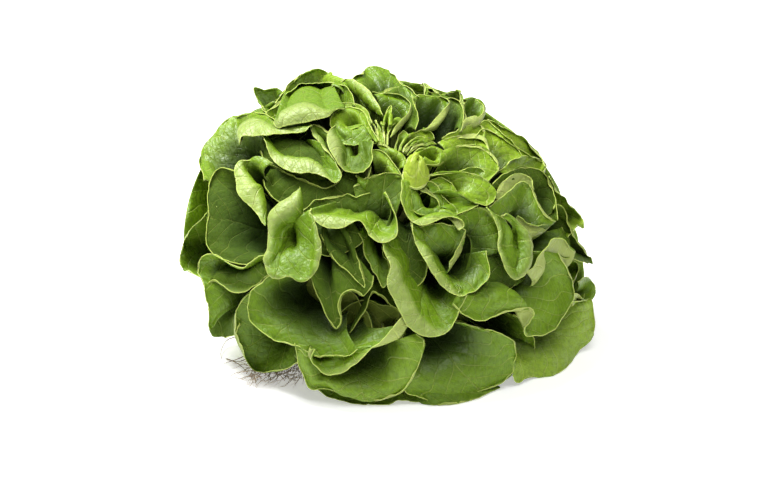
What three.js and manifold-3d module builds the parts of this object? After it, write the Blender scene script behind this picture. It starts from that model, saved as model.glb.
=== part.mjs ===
// A butterhead lettuce head lying on its root plug and its lowest outer leaves.
// Millimetres, +Z up, +Y away from the eye that looks down on the crown from the front.
import * as THREE from "three";
import { mergeVertices } from "three/addons/utils/BufferGeometryUtils.js";
import Module from "manifold-3d";

const wasm = await Module();
wasm.setup();

// The head: a flattened dome of leaves about an axis that leans to the front and to the right
const CENTRE = new THREE.Vector3(0, 0, 55);
const AXIS = new THREE.Vector3(0.199, -0.502, 0.843).normalize();
const ORIGIN_SHIFT_X = 12;
const ORIGIN_SHIFT_Y = -32;
const RADIUS_ACROSS = 130;
const RADIUS_ALONG = 86;

// The eye from which the leaf outlines are drawn, on a plane through the centre of the head
const EYE_DISTANCE = 1400;
const EYE_HEIGHT_ANGLE = THREE.MathUtils.degToRad(20);

// Leaves
const BLADE_THICKNESS = 0.9;
const CLEARANCE = 0.45;
const CORE_ACROSS = 34;
const CORE_ALONG = 26;
const CORE_LIFT = -14;
const HEEL_SPREAD = 0.55;
const BASE_WIDTH = 12;
const BASE_LOW = -34;
const BASE_HIGH = 2;
const BASE_REACH = 20;
const SHORTEST_RIM = 36;
const ROUNDING = 1e-3;
const SMALLEST_EDGE = 0.25;
const LEAST_OVERLAP = 0;
const LEAF_ROUGHNESS = 0.45;
const ROOT_ROUGHNESS = 0.9;
const STEP_ALONG_RIM = 21;
const FEWEST_ALONG_RIM = 5;
const MOST_ALONG_RIM = 11;
const LIFT_OF_FOLD = 0.015;
const DROP_OF_EDGE = 0.01;

// Colours
const STEM_COLOUR = 0xdfe6b4;
const ROOT_COLOUR = 0x8a7358;
const HEART_COLOUR = 0xa9c85a;
const LEAF_COLOUR = 0x8fb83c;
const HIDDEN_LEAF_COLOUR = 0x7fa838;

// Stem and roots
const STEM_RADIUS = 15;
const STEM_BOTTOM = -54;
const STEM_TOP = -42;
const PLUG_RADIUS = 13;
const PLUG_BOTTOM = -82;
const ROOT_RADIUS = 0.9;
const ROOT_SIDES = 5;
const ROOT_ENDS = [[-62, -34, 3], [-78, -10, 2], [-70, 20, 2], [-48, 58, 2], [10, 72, 2], [36, 50, 2]];

// Leaves that the front view doesn't reach: rings of [polar angle from the crown, number, shell share]
const HIDDEN_RINGS = [[72, 11, 0.97], [98, 10, 1.0], [124, 7, 1.0]];
const HIDDEN_HALF_WIDTH = 23;
const HIDDEN_HEIGHT = 22;
const HIDDEN_VIEW_LIMIT = 0.02;
const HIDDEN_POINTS = 9;
const HIDDEN_LEAN = 8;
const HIDDEN_WAVE = 5;
const HIDDEN_TURN = 6;
const HIDDEN_LOWEST_HEEL = 150;
const SEED = 12;

// Every leaf of the front view: name, share of the dome's size, heel [x, y, share] where the blade comes
// out between its neighbours, and its rim as [x, y, fold] from one end to the other. A fold is the width
// of the lip that turns over at that point, and a negative one turns the underside up.
const LEAVES = [
  // outer leaves, from the left round the front to the right
  ["left_high", 1.00, [-86, 52, 0.8], [
    [-68, 80], [-76, 84.5], [-84, 86], [-92, 84], [-100, 80], [-106, 73], [-112, 67], [-115, 60],
    [-116, 53], [-113, 43], [-109, 32], [-103, 22],
  ]],
  ["left_wing", 0.97, [-95, 2, 0.7], [
    [-105, 27], [-112, 22], [-118, 16], [-123, 9.5], [-126, 3], [-128.5, -6], [-128, -9.5],
    [-124.5, -12.5], [-120, -16], [-113, -18],
  ]],
  ["left_dark", 1.00, [-78, 14, 0.8], [
    [-88, 50], [-95, 50], [-102, 52], [-107.5, 48], [-110, 40], [-111, 28], [-111.5, 15], [-111, 5],
    [-108, -2], [-102, -5.5], [-94, -8], [-85, -9],
  ]],
  ["left_fold", 1.00, [-84, -14, 0.82], [
    [-74, -3], [-80, -4, 1], [-85, -7, 2], [-89, -9.3, 2], [-94, -9, 1], [-100, -7], [-106, -4],
    [-111, -2.5, 1], [-115.5, -4, 1], [-118, -8.5, 1], [-118, -15, 1], [-116, -19, 1.5],
    [-114, -25, 1.5], [-112.5, -32, 2], [-110, -39, 2], [-109.5, -45, 1], [-108, -49],
  ]],
  ["left_shelf", 0.97, [-84, -10, 0.85], [
    [-111, -24], [-110, -21], [-108, -19.5], [-105, -21, 1], [-100, -24.5, 2], [-95, -26, 2],
    [-88, -25.5, 2], [-82, -23.5, 1], [-76, -19.5], [-70, -15],
  ]],
  ["left_low", 0.93, [-88, -26, 0.75], [
    [-109, -22], [-110.5, -36], [-109.5, -47], [-108.5, -53], [-104, -54.5], [-98, -54], [-93, -52],
    [-90, -46],
  ]],
  ["front_left_under", 0.94, [-60, -44, 0.72], [
    [-80, -22], [-88, -29], [-92.5, -38], [-94.5, -48], [-94, -54], [-90, -63], [-85, -70], [-80, -75],
    [-74, -77.5], [-67, -76.8], [-60, -74], [-53, -69],
  ]],
  ["front_left_big", 1.01, [-48, -36, 0.82], [
    [-70, -15], [-78, -20], [-84, -25], [-86, -31], [-86, -37], [-84, -43], [-79, -48], [-73, -53],
    [-67, -57], [-60, -59], [-53, -62.5], [-46, -66], [-40, -67.5], [-32, -67], [-24, -67], [-17, -62],
  ]],
  ["front_under", 0.98, [5, -70, 0.75], [
    [-44, -84], [-38, -90], [-26, -94], [-12, -96.5], [0, -95.5], [10, -93.5], [20, -95], [30, -97],
    [40, -97], [50, -95], [62, -91], [72, -86],
  ]],
  ["front_low", 1.00, [-17, -68, 0.88], [
    [-56, -58], [-55, -66], [-53, -74], [-49, -82], [-46, -86], [-40, -85.3], [-34, -87], [-28, -90],
    [-22, -91.5], [-14, -94.5], [-6, -94.5], [2, -92.5], [9, -89.5], [15, -84], [18.5, -78], [21, -71],
    [24, -64], [25, -56], [20, -52],
  ]],
  ["front_roll", 1.03, [-30, -58, 0.88], [
    [-44, -62], [-46.5, -68], [-43.5, -73, 1], [-38.5, -77, 2], [-32, -78, 3], [-26, -76.5, 4],
    [-20, -72, 4], [-14, -67, 3], [-8, -62.5, 1], [-3, -58, -3], [2, -52, -6], [6, -47, -8],
    [10.5, -42, -8],
  ]],
  ["front_mid_right", 0.99, [31, -57, 0.86], [
    [16, -74], [13, -87], [17, -89.5], [23, -91], [30, -93.5], [38, -94.5], [46, -93], [54, -91],
    [61, -88.5], [68, -85], [75, -81.5], [80, -77], [81.5, -70], [82, -62], [81, -56.5], [73, -53],
    [62, -50],
  ]],
  ["right_strip", 0.95, [68, -44, 0.75], [
    [82, -83], [84, -80], [86.5, -75.5], [90, -70], [92, -63], [91.5, -55], [87, -47], [79, -42],
  ]],
  ["right_low", 1.00, [86, -44, 0.82], [
    [80, -78], [83, -82], [90, -80], [98, -79], [106, -78], [112, -74.5], [117, -69], [121, -63.5],
    [126, -58.5], [130, -53], [131.5, -47], [130.5, -40], [128.5, -31], [121, -32], [113, -34],
  ]],
  ["right_curl", 1.00, [108, -30, 0.82], [
    [116, -35], [119, -28], [121, -28.5, -1], [124, -30.5, -3], [127.5, -30.5, -3], [130, -27, -2],
    [130.8, -23, -1], [128.5, -18.5], [125, -17], [120, -19.5],
  ]],
  ["right_back_low", 0.96, [98, -14, 0.78], [
    [114, -26], [118, -20], [119.5, -15], [119, -8], [116, -5], [109, -4],
  ]],
  ["right_big", 1.03, [70, -20, 0.88], [
    [42, -34], [46, -39, 1], [52, -42, 1], [58, -43.3, 1], [64, -43, 1], [69, -41], [75, -38.5],
    [84, -38], [91, -37.5], [92, -39.5], [89, -44], [86, -49.5, 1], [87.5, -52.5, 2], [93, -54, 2],
    [100, -53, 2], [107, -49.5, 2], [111, -44, 2], [114.5, -38, 2], [118, -31, 2], [119, -24, 2],
    [117, -16, 1], [113, -9], [108, -2],
  ]],
  ["right_arch", 1.00, [92, -16, 0.85], [
    [119, -0.5], [115, 3.5, 1], [111, 6.5, 1], [107, 7.5], [103, 5], [100, 0], [97, -6], [94, -11],
    [89, -14],
  ]],
  ["right_dark_wing", 1.00, [98, 6, 0.8], [
    [108, -3], [115, -5], [121, -6.3], [126, -7], [130, -9.3], [128, -5], [124, 1], [120, 7],
    [117, 13], [114, 19], [111, 25], [108, 27.5], [105, 26],
  ]],
  ["right_pale_wing", 0.98, [98, 22, 0.78], [
    [114, 8], [119, 13], [123, 15], [124, 18], [121, 22.5], [116, 28], [111, 33.5], [107, 39],
    [102, 46],
  ]],
  // leaves round the right of the crown
  ["right_shelf", 0.97, [80, 4, 0.85], [
    [106, 18], [103, 15], [99, 15], [95, 14.5], [91, 15.3], [87, 16.5], [82, 20],
  ]],
  ["right_fold_front", 1.00, [78, 16, 0.85], [
    [107, 18.5], [102, 20.5], [98, 26], [95, 32], [93, 37], [90, 41, 1], [87, 43, 2], [84, 42.3, 2],
    [80, 39, 2], [76, 35, 1.5], [71, 31.5, 1], [65, 27],
  ]],
  ["right_fold_back", 0.99, [76, 26, 0.82], [
    [93, 38], [91, 42], [88, 45.5, 1], [84.5, 46.7, 1], [80, 45.5], [75, 42], [72, 38], [70, 32],
  ]],
  ["right_arch_dark", 1.00, [84, 26, 0.8], [
    [107.5, 18.5], [107, 24], [106.5, 31], [105.5, 38], [103, 44], [99, 48], [94, 50.7], [89, 52.7],
    [84, 53], [79, 50.5], [74, 47], [67, 41],
  ]],
  ["right_arch_pale", 0.97, [82, 38, 0.82], [
    [99, 49], [101, 53], [97, 57], [91, 59, 2], [86, 59.3, 3], [80, 57.5, 2], [76, 54], [72, 49],
  ]],
  ["right_back_gold", 0.98, [74, 48, 0.78], [
    [101, 52], [97, 60], [91, 66], [85, 70], [78, 74.3], [70, 78.5], [64, 81],
  ]],
  ["right_back_pale", 0.98, [66, 52, 0.8], [
    [92, 57], [86, 62], [79, 67.5], [73, 72.3], [68, 77], [63, 80.8], [59, 79],
  ]],
  ["right_drape", 0.97, [60, 52, 0.82], [
    [87, 58], [82, 63.5], [76, 68], [71, 71.5], [66, 74.5], [61, 75], [56, 71],
  ]],
  ["right_ridge", 0.98, [48, 58, 0.85], [
    [63, 74], [60.5, 79, 1], [55, 78.8, 2], [50, 76.7, 2], [45, 74.3, 1], [40, 73], [35, 70],
  ]],
  ["right_pale_hood", 0.98, [46, 54, 0.86], [
    [65, 61], [64, 66.5, -1], [60, 70, -2], [54, 71.2, -2], [46, 71, -1], [39, 70], [33, 67],
  ]],
  ["right_big_hood", 1.00, [44, 46, 0.88], [
    [64, 41], [68.5, 45, 1], [72, 49.5], [71, 53], [68, 57.5, -1], [64, 62.5, -1], [58, 65, -1],
    [50, 65.6, -1], [42, 64.5], [34, 61.5],
  ]],
  ["right_crescent", 0.98, [48, 42, 0.88], [
    [66, 43], [63.5, 47.5, 1], [58, 50.3, 1], [52, 49.8], [45, 48],
  ]],
  ["right_lobe", 1.02, [36, 40, 0.92], [
    [56, 29], [60, 28.5, 1], [64, 28.2, 1], [68, 29.7, 1], [70, 33], [69.5, 37], [67, 40.5], [63, 44],
    [57, 47.3], [50, 48.5], [42, 48.7], [34, 48], [29, 46],
  ]],
  ["right_lens", 1.01, [34, 30, 0.92], [
    [43, 22], [50, 24.5, 1], [55, 26.2, 2], [58.5, 28.7, 1], [57.5, 31], [54, 33.5], [49, 35],
    [42, 36.4], [34, 37],
  ]],
  ["right_lens_low", 0.99, [34, 20, 0.9], [
    [54, 25], [49, 26.5], [44, 27.6], [39, 29], [36, 31.8], [34.6, 35], [33, 38.7], [30, 41], [26, 42],
  ]],
  ["right_lens_high", 0.98, [28, 34, 0.9], [
    [46, 34], [44.6, 37.5], [42, 40.7], [38, 43.3], [34, 45], [30, 44.5], [27, 43],
  ]],
  ["right_face", 0.99, [48, 4, 0.84], [
    [78, 2], [74, 12], [69, 20], [65, 25], [60, 27.4], [54, 26.7], [48, 24], [42, 20.5],
  ]],
  ["right_tongue", 1.04, [76, 4, 0.86], [
    [63, 26.5], [66.5, 22, 3], [69.5, 16, 5], [71.3, 10, 5], [70.5, 3, 5], [72, -4, 4], [74.5, -11, 3],
    [77.5, -16.5, 3], [81, -18.7, 4], [85, -17.7, 5], [89, -13.5, 6], [91.5, -8, 7], [92.3, -2, 8],
    [91, 6, 8], [88, 13, 7], [84, 18, 4], [80, 21.3, 2], [76.5, 23, 1], [72, 21.5],
  ]],
  // leaves in front of the crown
  ["front_crescent", 1.04, [24, 26, 0.9], [
    [11, 44], [10, 37, 1], [9.8, 30, 1], [11, 24.5, 1], [14, 20, 2], [18, 16.7, 4], [22, 15.1, 5.5],
    [27, 15.8, 5.5], [32, 17.8, 4], [37, 20.3, 2], [42, 21], [46, 18.8], [49, 15.5], [46, 13],
  ]],
  ["front_inner", 1.00, [25, 30, 0.9], [
    [13, 38], [15, 33], [17.5, 27.5], [20, 23], [24, 20.7], [30, 20.8], [35, 22.5], [35, 26.5],
    [32.3, 31], [28, 35], [23, 39.5],
  ]],
  ["front_upper_lobe", 0.98, [35, -8, 0.86], [
    [40, -7], [44, -1.5], [48, 4], [50.5, 9], [51, 12.5], [47, 13.7], [42, 15.5], [34, 16.5], [26, 16],
    [17, 14],
  ]],
  ["front_spoon", 1.03, [38, -8, 0.86], [
    [16, 18], [17.2, 10, 1], [20, 2, 4], [24, -6, 6], [28, -13.5, 6], [33, -20, 6], [39, -26, 5],
    [45, -28.9, 3], [51, -28.5, 1], [56, -25.5], [61, -20], [64.5, -15], [64.7, -8], [63, -0.5],
  ]],
  ["front_long_lip", 1.03, [24, -14, 0.8], [
    [-2, 7], [-1.3, -1, 3], [2, -7, 5], [3, -11, 7], [1, -17, 10], [1, -23, 12], [5, -31, 13],
    [9, -39, 12], [14, -48, 12], [21, -52.5, 12], [28, -54.3, 9], [36, -53, 5], [41, -49, 2],
    [44, -43], [46, -37], [51, -28],
  ]],
  ["front_cup", 1.04, [-6, 24, 0.84], [
    [-46, 26], [-47.5, 22, 3], [-44, 18, 6], [-38, 14, 9], [-28, 13, 8], [-20, 16, 3.5], [-16, 17, 1],
    [-13, 13, 2.5], [-10, 8, 3.5], [-6, 5, 4], [0, 4, 4], [5, 6, 2.5], [8, 12], [7, 20], [4, 29],
    [0, 36],
  ]],
  ["cup_back", 0.98, [-4, 16, 0.8], [
    [11, 34], [11, 41], [9.5, 45.5], [6, 48, 0.5], [1, 47.7, 0.5], [-5, 47.3], [-10, 46], [-14, 44],
    [-20, 40],
  ]],
  ["cup_left_back", 0.96, [-24, 16, 0.8], [
    [-9, 35], [-14, 33], [-18, 31], [-20, 32.3], [-23, 35], [-28, 34], [-34, 33.3], [-40, 33, 1],
    [-45, 31.5, 2], [-49, 28, 2], [-52, 25],
  ]],
  ["left_spoon", 1.04, [-56, 10, 0.85], [
    [-53, 39], [-57, 35.5, 8], [-61, 31, 10], [-66, 27.5, 10], [-70.5, 23, 9], [-73.5, 16, 7],
    [-74.5, 8, 6], [-74.5, 0, 5], [-75.5, -8, 4], [-73.5, -13, 3], [-70, -17, 3], [-65, -17.3, 2],
    [-60, -16.5, 1], [-55, -19, 1], [-50, -19.3, 1], [-46, -17, 2], [-43, -12, 3], [-40.5, -5, 4],
    [-40, 2, 4], [-41.5, 10, 3], [-44, 18, 2], [-47, 25],
  ]],
  ["hanging_leaf", 0.95, [-34, -4, 0.85], [
    [-47, -6], [-46.5, -15], [-45, -21], [-42, -28], [-38, -37], [-34, -45], [-30.5, -50], [-28, -47],
    [-27, -40], [-27.3, -33], [-25, -27], [-21, -26], [-17, -27.5], [-14, -29.8], [-10, -25],
    [-8, -16],
  ]],
  ["hanging_dark", 0.98, [-27, 6, 0.86], [
    [-40, 10], [-37, 1], [-33, -6], [-27, -10.5], [-21.5, -15], [-17.5, -20], [-12.5, -24], [-13, -16],
    [-16, -6], [-20, 4], [-25, 13],
  ]],
  ["centre_olive", 0.93, [-5, 4, 0.8], [
    [-16, 11], [-13, 4], [-11, -3], [-8, -10], [-5, -17], [-1, -24], [3, -20], [4, -12], [2, -2],
  ]],
  ["deep_front", 0.86, [-2, -20, 0.65], [
    [-22, -52], [-16, -42], [-12, -33], [-8, -25.5], [-3, -28], [3, -33.5], [8, -38], [12, -44],
    [12, -54],
  ]],
  ["left_bright_lip", 1.01, [-76, 36, 0.86], [
    [-70, 54], [-75, 58], [-80, 59], [-84, 57.3], [-88, 56.5, 2], [-92, 54.5, 5], [-94, 50, 8],
    [-93.3, 43, 11], [-92, 37, 13], [-89, 31.5, 13], [-84, 27, 10], [-80, 22.5, 6], [-77, 18.5, 3],
    [-74, 16],
  ]],
  ["upper_bright_lip", 1.02, [-52, 58, 0.82], [
    [-77, 73], [-75.5, 67, 1], [-73, 61, 3], [-69, 55.5, 6], [-63, 51.3, 9], [-56, 49, 10.5],
    [-49, 48.3, 10], [-42, 47, 6], [-37, 44.5, 3], [-33, 42, 1.5], [-30, 41.3, 1], [-27.5, 43],
    [-27, 47], [-30, 53], [-34, 60], [-39, 67],
  ]],
  ["upper_fold", 1.00, [-38, 60, 0.86], [
    [-34, 73], [-38, 76], [-42, 78], [-45, 78.7, -1], [-47, 77, 1], [-45, 72, 3], [-42, 68, 3],
    [-39, 64, 2], [-36, 60],
  ]],
  ["upper_ledge", 1.03, [-66, 72, 0.88], [
    [-90, 66], [-88.5, 70.5, 8], [-84, 71, 12], [-78, 70.7, 12], [-73, 70.5, 8], [-68, 71, 5],
    [-62, 72, 5], [-56, 73.5, 4], [-50, 74.3, 3], [-45, 77],
  ]],
  ["upper_glossy", 1.02, [-48, 80, 0.88], [
    [-68, 84], [-70, 80, 5], [-67, 76.3, 9], [-60, 78, 11], [-50, 80, 13], [-42, 81.7, 11],
    [-36, 83, 6], [-30, 87.5, 1], [-25, 89],
  ]],
  ["upper_big", 0.99, [-44, 76, 0.84], [
    [-19, 90], [-21, 95], [-25, 101], [-30, 104.3], [-36, 106], [-42, 105.2], [-48, 104.3], [-54, 103],
    [-59, 99], [-64, 96], [-70, 90.5], [-74, 86, 2], [-76, 80, 3], [-75, 72, 2],
  ]],
  ["upper_pale", 0.99, [-44, 84, 0.8], [
    [-19, 104], [-27, 107], [-35, 110], [-42, 113], [-49, 111.5], [-55, 107], [-60, 103], [-64, 98],
    [-69, 92],
  ]],
  ["upper_flap", 0.97, [-68, 84, 0.82], [
    [-63, 97], [-68, 101], [-75, 100, 1], [-82, 101.3], [-80, 95], [-76, 88], [-72, 82],
  ]],
  ["upper_lip", 1.00, [-12, 84, 0.84], [
    [-1, 84], [-3, 89, 2], [-6, 93, 3], [-9, 98, 4], [-14, 102, 4], [-20, 106, 3], [-27, 107.3, 1],
    [-34, 103],
  ]],
  ["back_top", 1.00, [2, 88, 0.82], [
    [21, 95], [17, 99], [13, 103], [8, 107], [3, 111], [-2, 113.7], [-8, 115, 1], [-12.5, 113.5, 1],
    [-13.5, 110], [-17, 108.5], [-23, 106],
  ]],
  ["back_dark", 0.98, [8, 80, 0.85], [
    [19, 75], [20, 84], [19.3, 92], [17, 98], [13, 101], [8, 102.3], [3, 101], [-5, 98],
  ]],
  ["back_pocket", 1.00, [6, 78, 0.88], [
    [4, 70], [6, 76, -2], [10, 81.5, -3], [14, 86, -3], [15, 90.5, -1], [12, 94], [6, 96.3], [0, 97],
    [-8, 98],
  ]],
  ["back_face", 1.00, [26, 78, 0.86], [
    [24, 74], [29.5, 80, -5], [34, 85, -5], [38, 89, -3], [39.3, 92.5, -1], [37, 95.3], [33, 96.3],
    [28, 96.2], [22, 97.3], [17, 95.5],
  ]],
  ["back_right_dark", 0.99, [38, 78, 0.85], [
    [47, 74], [49, 80], [49.2, 85], [47, 90], [43, 93.7], [38, 96.3], [33, 98], [27, 98],
  ]],
  ["back_tip", 0.97, [26, 90, 0.85], [
    [34, 97], [28, 100.5], [22, 104.7], [24.5, 101], [25, 95],
  ]],
  ["back_flat_top", 0.98, [42, 84, 0.85], [
    [51, 80], [50.3, 88], [48.7, 93], [47.3, 99], [41, 99], [35, 97],
  ]],
  ["back_right_roll", 1.00, [52, 80, 0.9], [
    [48, 74], [48, 78.5, -3], [50, 81.8, -5], [54, 83.3, -6], [59, 84, -6], [61.5, 86.3, -3],
    [61.5, 89.5], [58, 92.3], [52, 95.2], [48, 93],
  ]],
  // small leaves of the heart
  ["crown_left_pocket", 1.00, [-18, 74, 0.9], [
    [-5, 67], [-7.5, 74], [-10, 80, 0.5], [-13, 84.7, 0.5], [-18, 87.7, 0.5], [-23, 89, 0.5],
    [-28, 88], [-32, 85], [-34, 81], [-33, 77], [-30, 75], [-25, 75], [-20, 76], [-14, 77.5], [-9, 77],
  ]],
  ["crown_left_arch", 0.99, [-20, 76, 0.88], [
    [-8, 79], [-10.5, 85.5, 1], [-15, 90, 1.5], [-20, 91.7, 2], [-26, 92, 2], [-31, 90.7, 1],
    [-36, 88], [-40, 84],
  ]],
  ["left_cup", 1.02, [-18, 58, 0.88], [
    [-31, 78], [-34.5, 75, 3], [-36, 70.5, 7], [-35.5, 65, 8], [-33, 59, 7], [-29, 53, 4],
    [-25, 49.7, 1.5], [-19, 47.3, 1.5], [-13, 48.5, 1.5], [-9.5, 52, 1], [-8, 57, 1], [-9, 63],
    [-8, 68],
  ]],
  ["cup_lens", 1.00, [-20, 66, 0.92], [
    [-30, 71], [-28.5, 67.5, 1], [-25, 65, 4], [-20, 65.6, 5], [-14, 66.8, 4], [-8, 68.5, 1],
  ]],
  ["under_cup", 0.98, [-12, 36, 0.9], [
    [-18, 47], [-14, 44.3], [-11, 44.5], [-9.5, 47], [-9, 52],
  ]],
  ["crown_wedge", 0.97, [6, 52, 0.88], [
    [13, 50], [13.6, 55], [12, 58.5], [8, 61.3], [4, 63.7], [0, 66.3, 0.5], [-5, 66],
  ]],
  ["crown_face", 0.98, [0, 46, 0.88], [
    [12, 45.5], [8, 49.5], [5, 53.3], [2, 57.3], [-1, 60.7], [-5, 62.7], [-10, 63],
  ]],
  ["crown_spoon", 1.02, [18, 55, 0.97], [
    [16, 57.5], [13, 53], [11, 48.5], [11, 44.5], [13.3, 41, -1], [17, 38.7, -1], [22.5, 38.8, -1],
    [26, 42, -1], [28, 46.5], [26.5, 51], [22.5, 54.8], [19, 57.3],
  ]],
  ["crown_cup", 0.98, [27, 56, 0.92], [
    [22, 54.3], [27, 53.1, -1], [33, 53.2, -2], [37, 55, -2], [36.3, 58.5], [33, 62], [28, 63.2],
    [23, 62.5], [19, 60.5], [15, 57],
  ]],
  ["crown_arc_1", 0.95, [8, 60, 0.86], [
    [15.5, 71.5], [13, 74, 0.5], [11, 74.7, 0.5], [8.5, 72], [7, 67.5], [6.3, 62],
  ]],
  ["crown_arc_2", 0.95, [14, 62, 0.86], [
    [30.5, 69], [29.5, 71.3], [27, 73.5], [23, 75, 0.5], [18, 74], [13, 70.7], [10, 66.5], [8.8, 61],
  ]],
  ["crown_arc_3", 0.945, [16, 61, 0.86], [
    [28.5, 70], [22, 70.7], [17, 69], [13, 65], [10.8, 61],
  ]],
  ["crown_arc_4", 0.94, [17, 60, 0.86], [
    [32.5, 66], [29, 68.3], [24, 68.7], [19, 67.4], [15, 64], [12.3, 60],
  ]],
  ["crown_arc_5", 0.935, [18, 59, 0.86], [
    [31, 65.6], [26, 66.6], [21, 65.6], [17, 63], [13.8, 59],
  ]],
  ["crown_line_1", 0.955, [-3, 66, 0.86], [
    [-2.7, 66], [-4, 70], [-5.7, 75], [-8, 80],
  ]],
  ["crown_line_2", 0.95, [-1, 66, 0.86], [
    [-1.7, 66], [-2.6, 71], [-4, 76], [-6.3, 81],
  ]],
  ["crown_line_3", 0.95, [0, 66, 0.86], [
    [0, 66], [-0.8, 72], [-1.3, 77], [-2.7, 80],
  ]],
  ["crown_point", 0.98, [1, 74, 0.9], [
    [4.2, 77], [4.4, 84], [3.8, 90.3], [1.3, 87], [-0.8, 82.5], [-1.8, 77],
  ]],
  ["crown_tall", 0.96, [4, 70, 0.88], [
    [12, 80], [9, 82.7], [5, 80.7], [2.2, 76.5], [1, 70], [1, 65],
  ]],
];

// Leaves large enough for a node each; the others grow together in the heart
const LARGE = [
  "left_high", "left_wing", "left_dark", "left_fold", "left_shelf", "front_left_under", "front_left_big",
  "front_under", "front_low", "front_roll", "front_mid_right", "right_low", "right_big", "right_arch",
  "right_dark_wing", "right_pale_wing", "right_fold_front", "right_arch_dark", "right_arch_pale",
  "right_back_gold", "right_big_hood", "right_lobe", "right_tongue", "front_crescent", "front_spoon",
  "front_long_lip", "front_cup", "left_spoon", "upper_bright_lip", "upper_glossy",
  "upper_big", "upper_pale", "back_top",
];

const PICTURE_RIGHT = new THREE.Vector3(1, 0, 0);
const TO_EYE = new THREE.Vector3(0, -Math.cos(EYE_HEIGHT_ANGLE), Math.sin(EYE_HEIGHT_ANGLE));
const PICTURE_UP = new THREE.Vector3(0, Math.sin(EYE_HEIGHT_ANGLE), Math.cos(EYE_HEIGHT_ANGLE));
const EYE = CENTRE.clone().addScaledVector(TO_EYE, EYE_DISTANCE);
const SIDE_A = new THREE.Vector3().crossVectors(AXIS, PICTURE_RIGHT).normalize();
const SIDE_B = new THREE.Vector3().crossVectors(SIDE_A, AXIS).normalize();

// A stream of numbers from 0 to 1, the same each time
function randomFrom(seed) {
  let state = seed;
  return () => {
    state = (state * 1664525 + 1013904223) % 4294967296;
    return state / 4294967296;
  };
}

// A vector with its part along the head's axis stretched, so that the dome becomes a sphere
function toSphere(vector) {
  const along = vector.dot(AXIS);
  const stretch = RADIUS_ACROSS / RADIUS_ALONG - 1;
  return vector.clone().addScaledVector(AXIS, along * stretch);
}

// The point of the dome, scaled by share, that the eye sees at x, y of the picture plane
function cast(x, y, share) {
  const target = CENTRE.clone().addScaledVector(PICTURE_RIGHT, x).addScaledVector(PICTURE_UP, y);
  const ray = target.sub(EYE).normalize();
  const from = toSphere(EYE.clone().sub(CENTRE));
  const along = toSphere(ray);
  const radius = RADIUS_ACROSS * share;
  const a = along.dot(along);
  const b = from.dot(along);
  const c = from.dot(from) - radius * radius;
  const reach = Math.max(0, b * b - a * c);
  let distance = (-b - Math.sqrt(reach)) / a;
  const floor = BLADE_THICKNESS / 2;
  if (EYE.z + distance * ray.z < floor) {
    distance = (floor - EYE.z) / ray.z;
  }
  return EYE.clone().addScaledVector(ray, distance);
}

// The point of the dome, scaled by share, at a polar angle from the crown and an angle round the axis
function onDome(polar, turn, share) {
  const p = THREE.MathUtils.degToRad(polar);
  const t = THREE.MathUtils.degToRad(turn);
  const point = CENTRE.clone().addScaledVector(AXIS, Math.cos(p) * RADIUS_ALONG * share);
  const across = Math.sin(p) * RADIUS_ACROSS * share;
  point.addScaledVector(SIDE_A, across * Math.cos(t));
  point.addScaledVector(SIDE_B, across * Math.sin(t));
  point.z = Math.max(point.z, BLADE_THICKNESS / 2);
  return point;
}

// A solid from a closed geometry, with corners closer than the rounding joined
function solidFrom(geometry, rounding = 1e-5) {
  const bare = geometry.index ? geometry : mergeVertices(geometry);
  bare.deleteAttribute("normal");
  bare.deleteAttribute("uv");
  const merged = mergeVertices(bare, rounding);
  const vertProperties = new Float32Array(merged.attributes.position.array);
  const triVerts = new Uint32Array(merged.index.array);
  return new wasm.Manifold(new wasm.Mesh({ numProp: 3, vertProperties, triVerts }));
}

function geometryFrom(solid) {
  const mesh = solid.getMesh();
  const geometry = new THREE.BufferGeometry();
  geometry.setAttribute("position", new THREE.BufferAttribute(new Float32Array(mesh.vertProperties), 3));
  geometry.setIndex(new THREE.BufferAttribute(new Uint32Array(mesh.triVerts), 1));
  return geometry;
}

// The largest piece of a solid, without scraps or sealed hollows
function largestPiece(solid) {
  let body = solid.simplify(SMALLEST_EDGE);
  let count = 0;
  while (count !== 1) {
    const pieces = solidFrom(geometryFrom(body), ROUNDING).decompose();
    pieces.sort((one, other) => other.volume() - one.volume());
    body = pieces[0];
    count = pieces.length;
  }
  return body;
}

// The inward side of an outline in the picture plane at point i, towards the heel
function inward(outline, i, heel) {
  const before = outline[Math.max(0, i - 1)];
  const after = outline[Math.min(outline.length - 1, i + 1)];
  const across = new THREE.Vector2(-(after[1] - before[1]), after[0] - before[0]).normalize();
  const toHeel = new THREE.Vector2(heel[0] - outline[i][0], heel[1] - outline[i][1]);
  return across.dot(toHeel) < 0 ? across.negate() : across;
}

// The edge and the fold of a drawn leaf, as two rows of points
function drawnRows([, share, heel, outline]) {
  const edges = [];
  const folds = [];
  outline.forEach(([x, y, fold = 0], i) => {
    const side = inward(outline, i, heel);
    edges.push(cast(x, y, share));
    const lift = fold ? LIFT_OF_FOLD : -DROP_OF_EDGE;
    folds.push(cast(x + side.x * fold, y + side.y * fold, share + lift));
  });
  return { edges, folds, heel: cast(heel[0], heel[1], heel[2]) };
}

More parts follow.
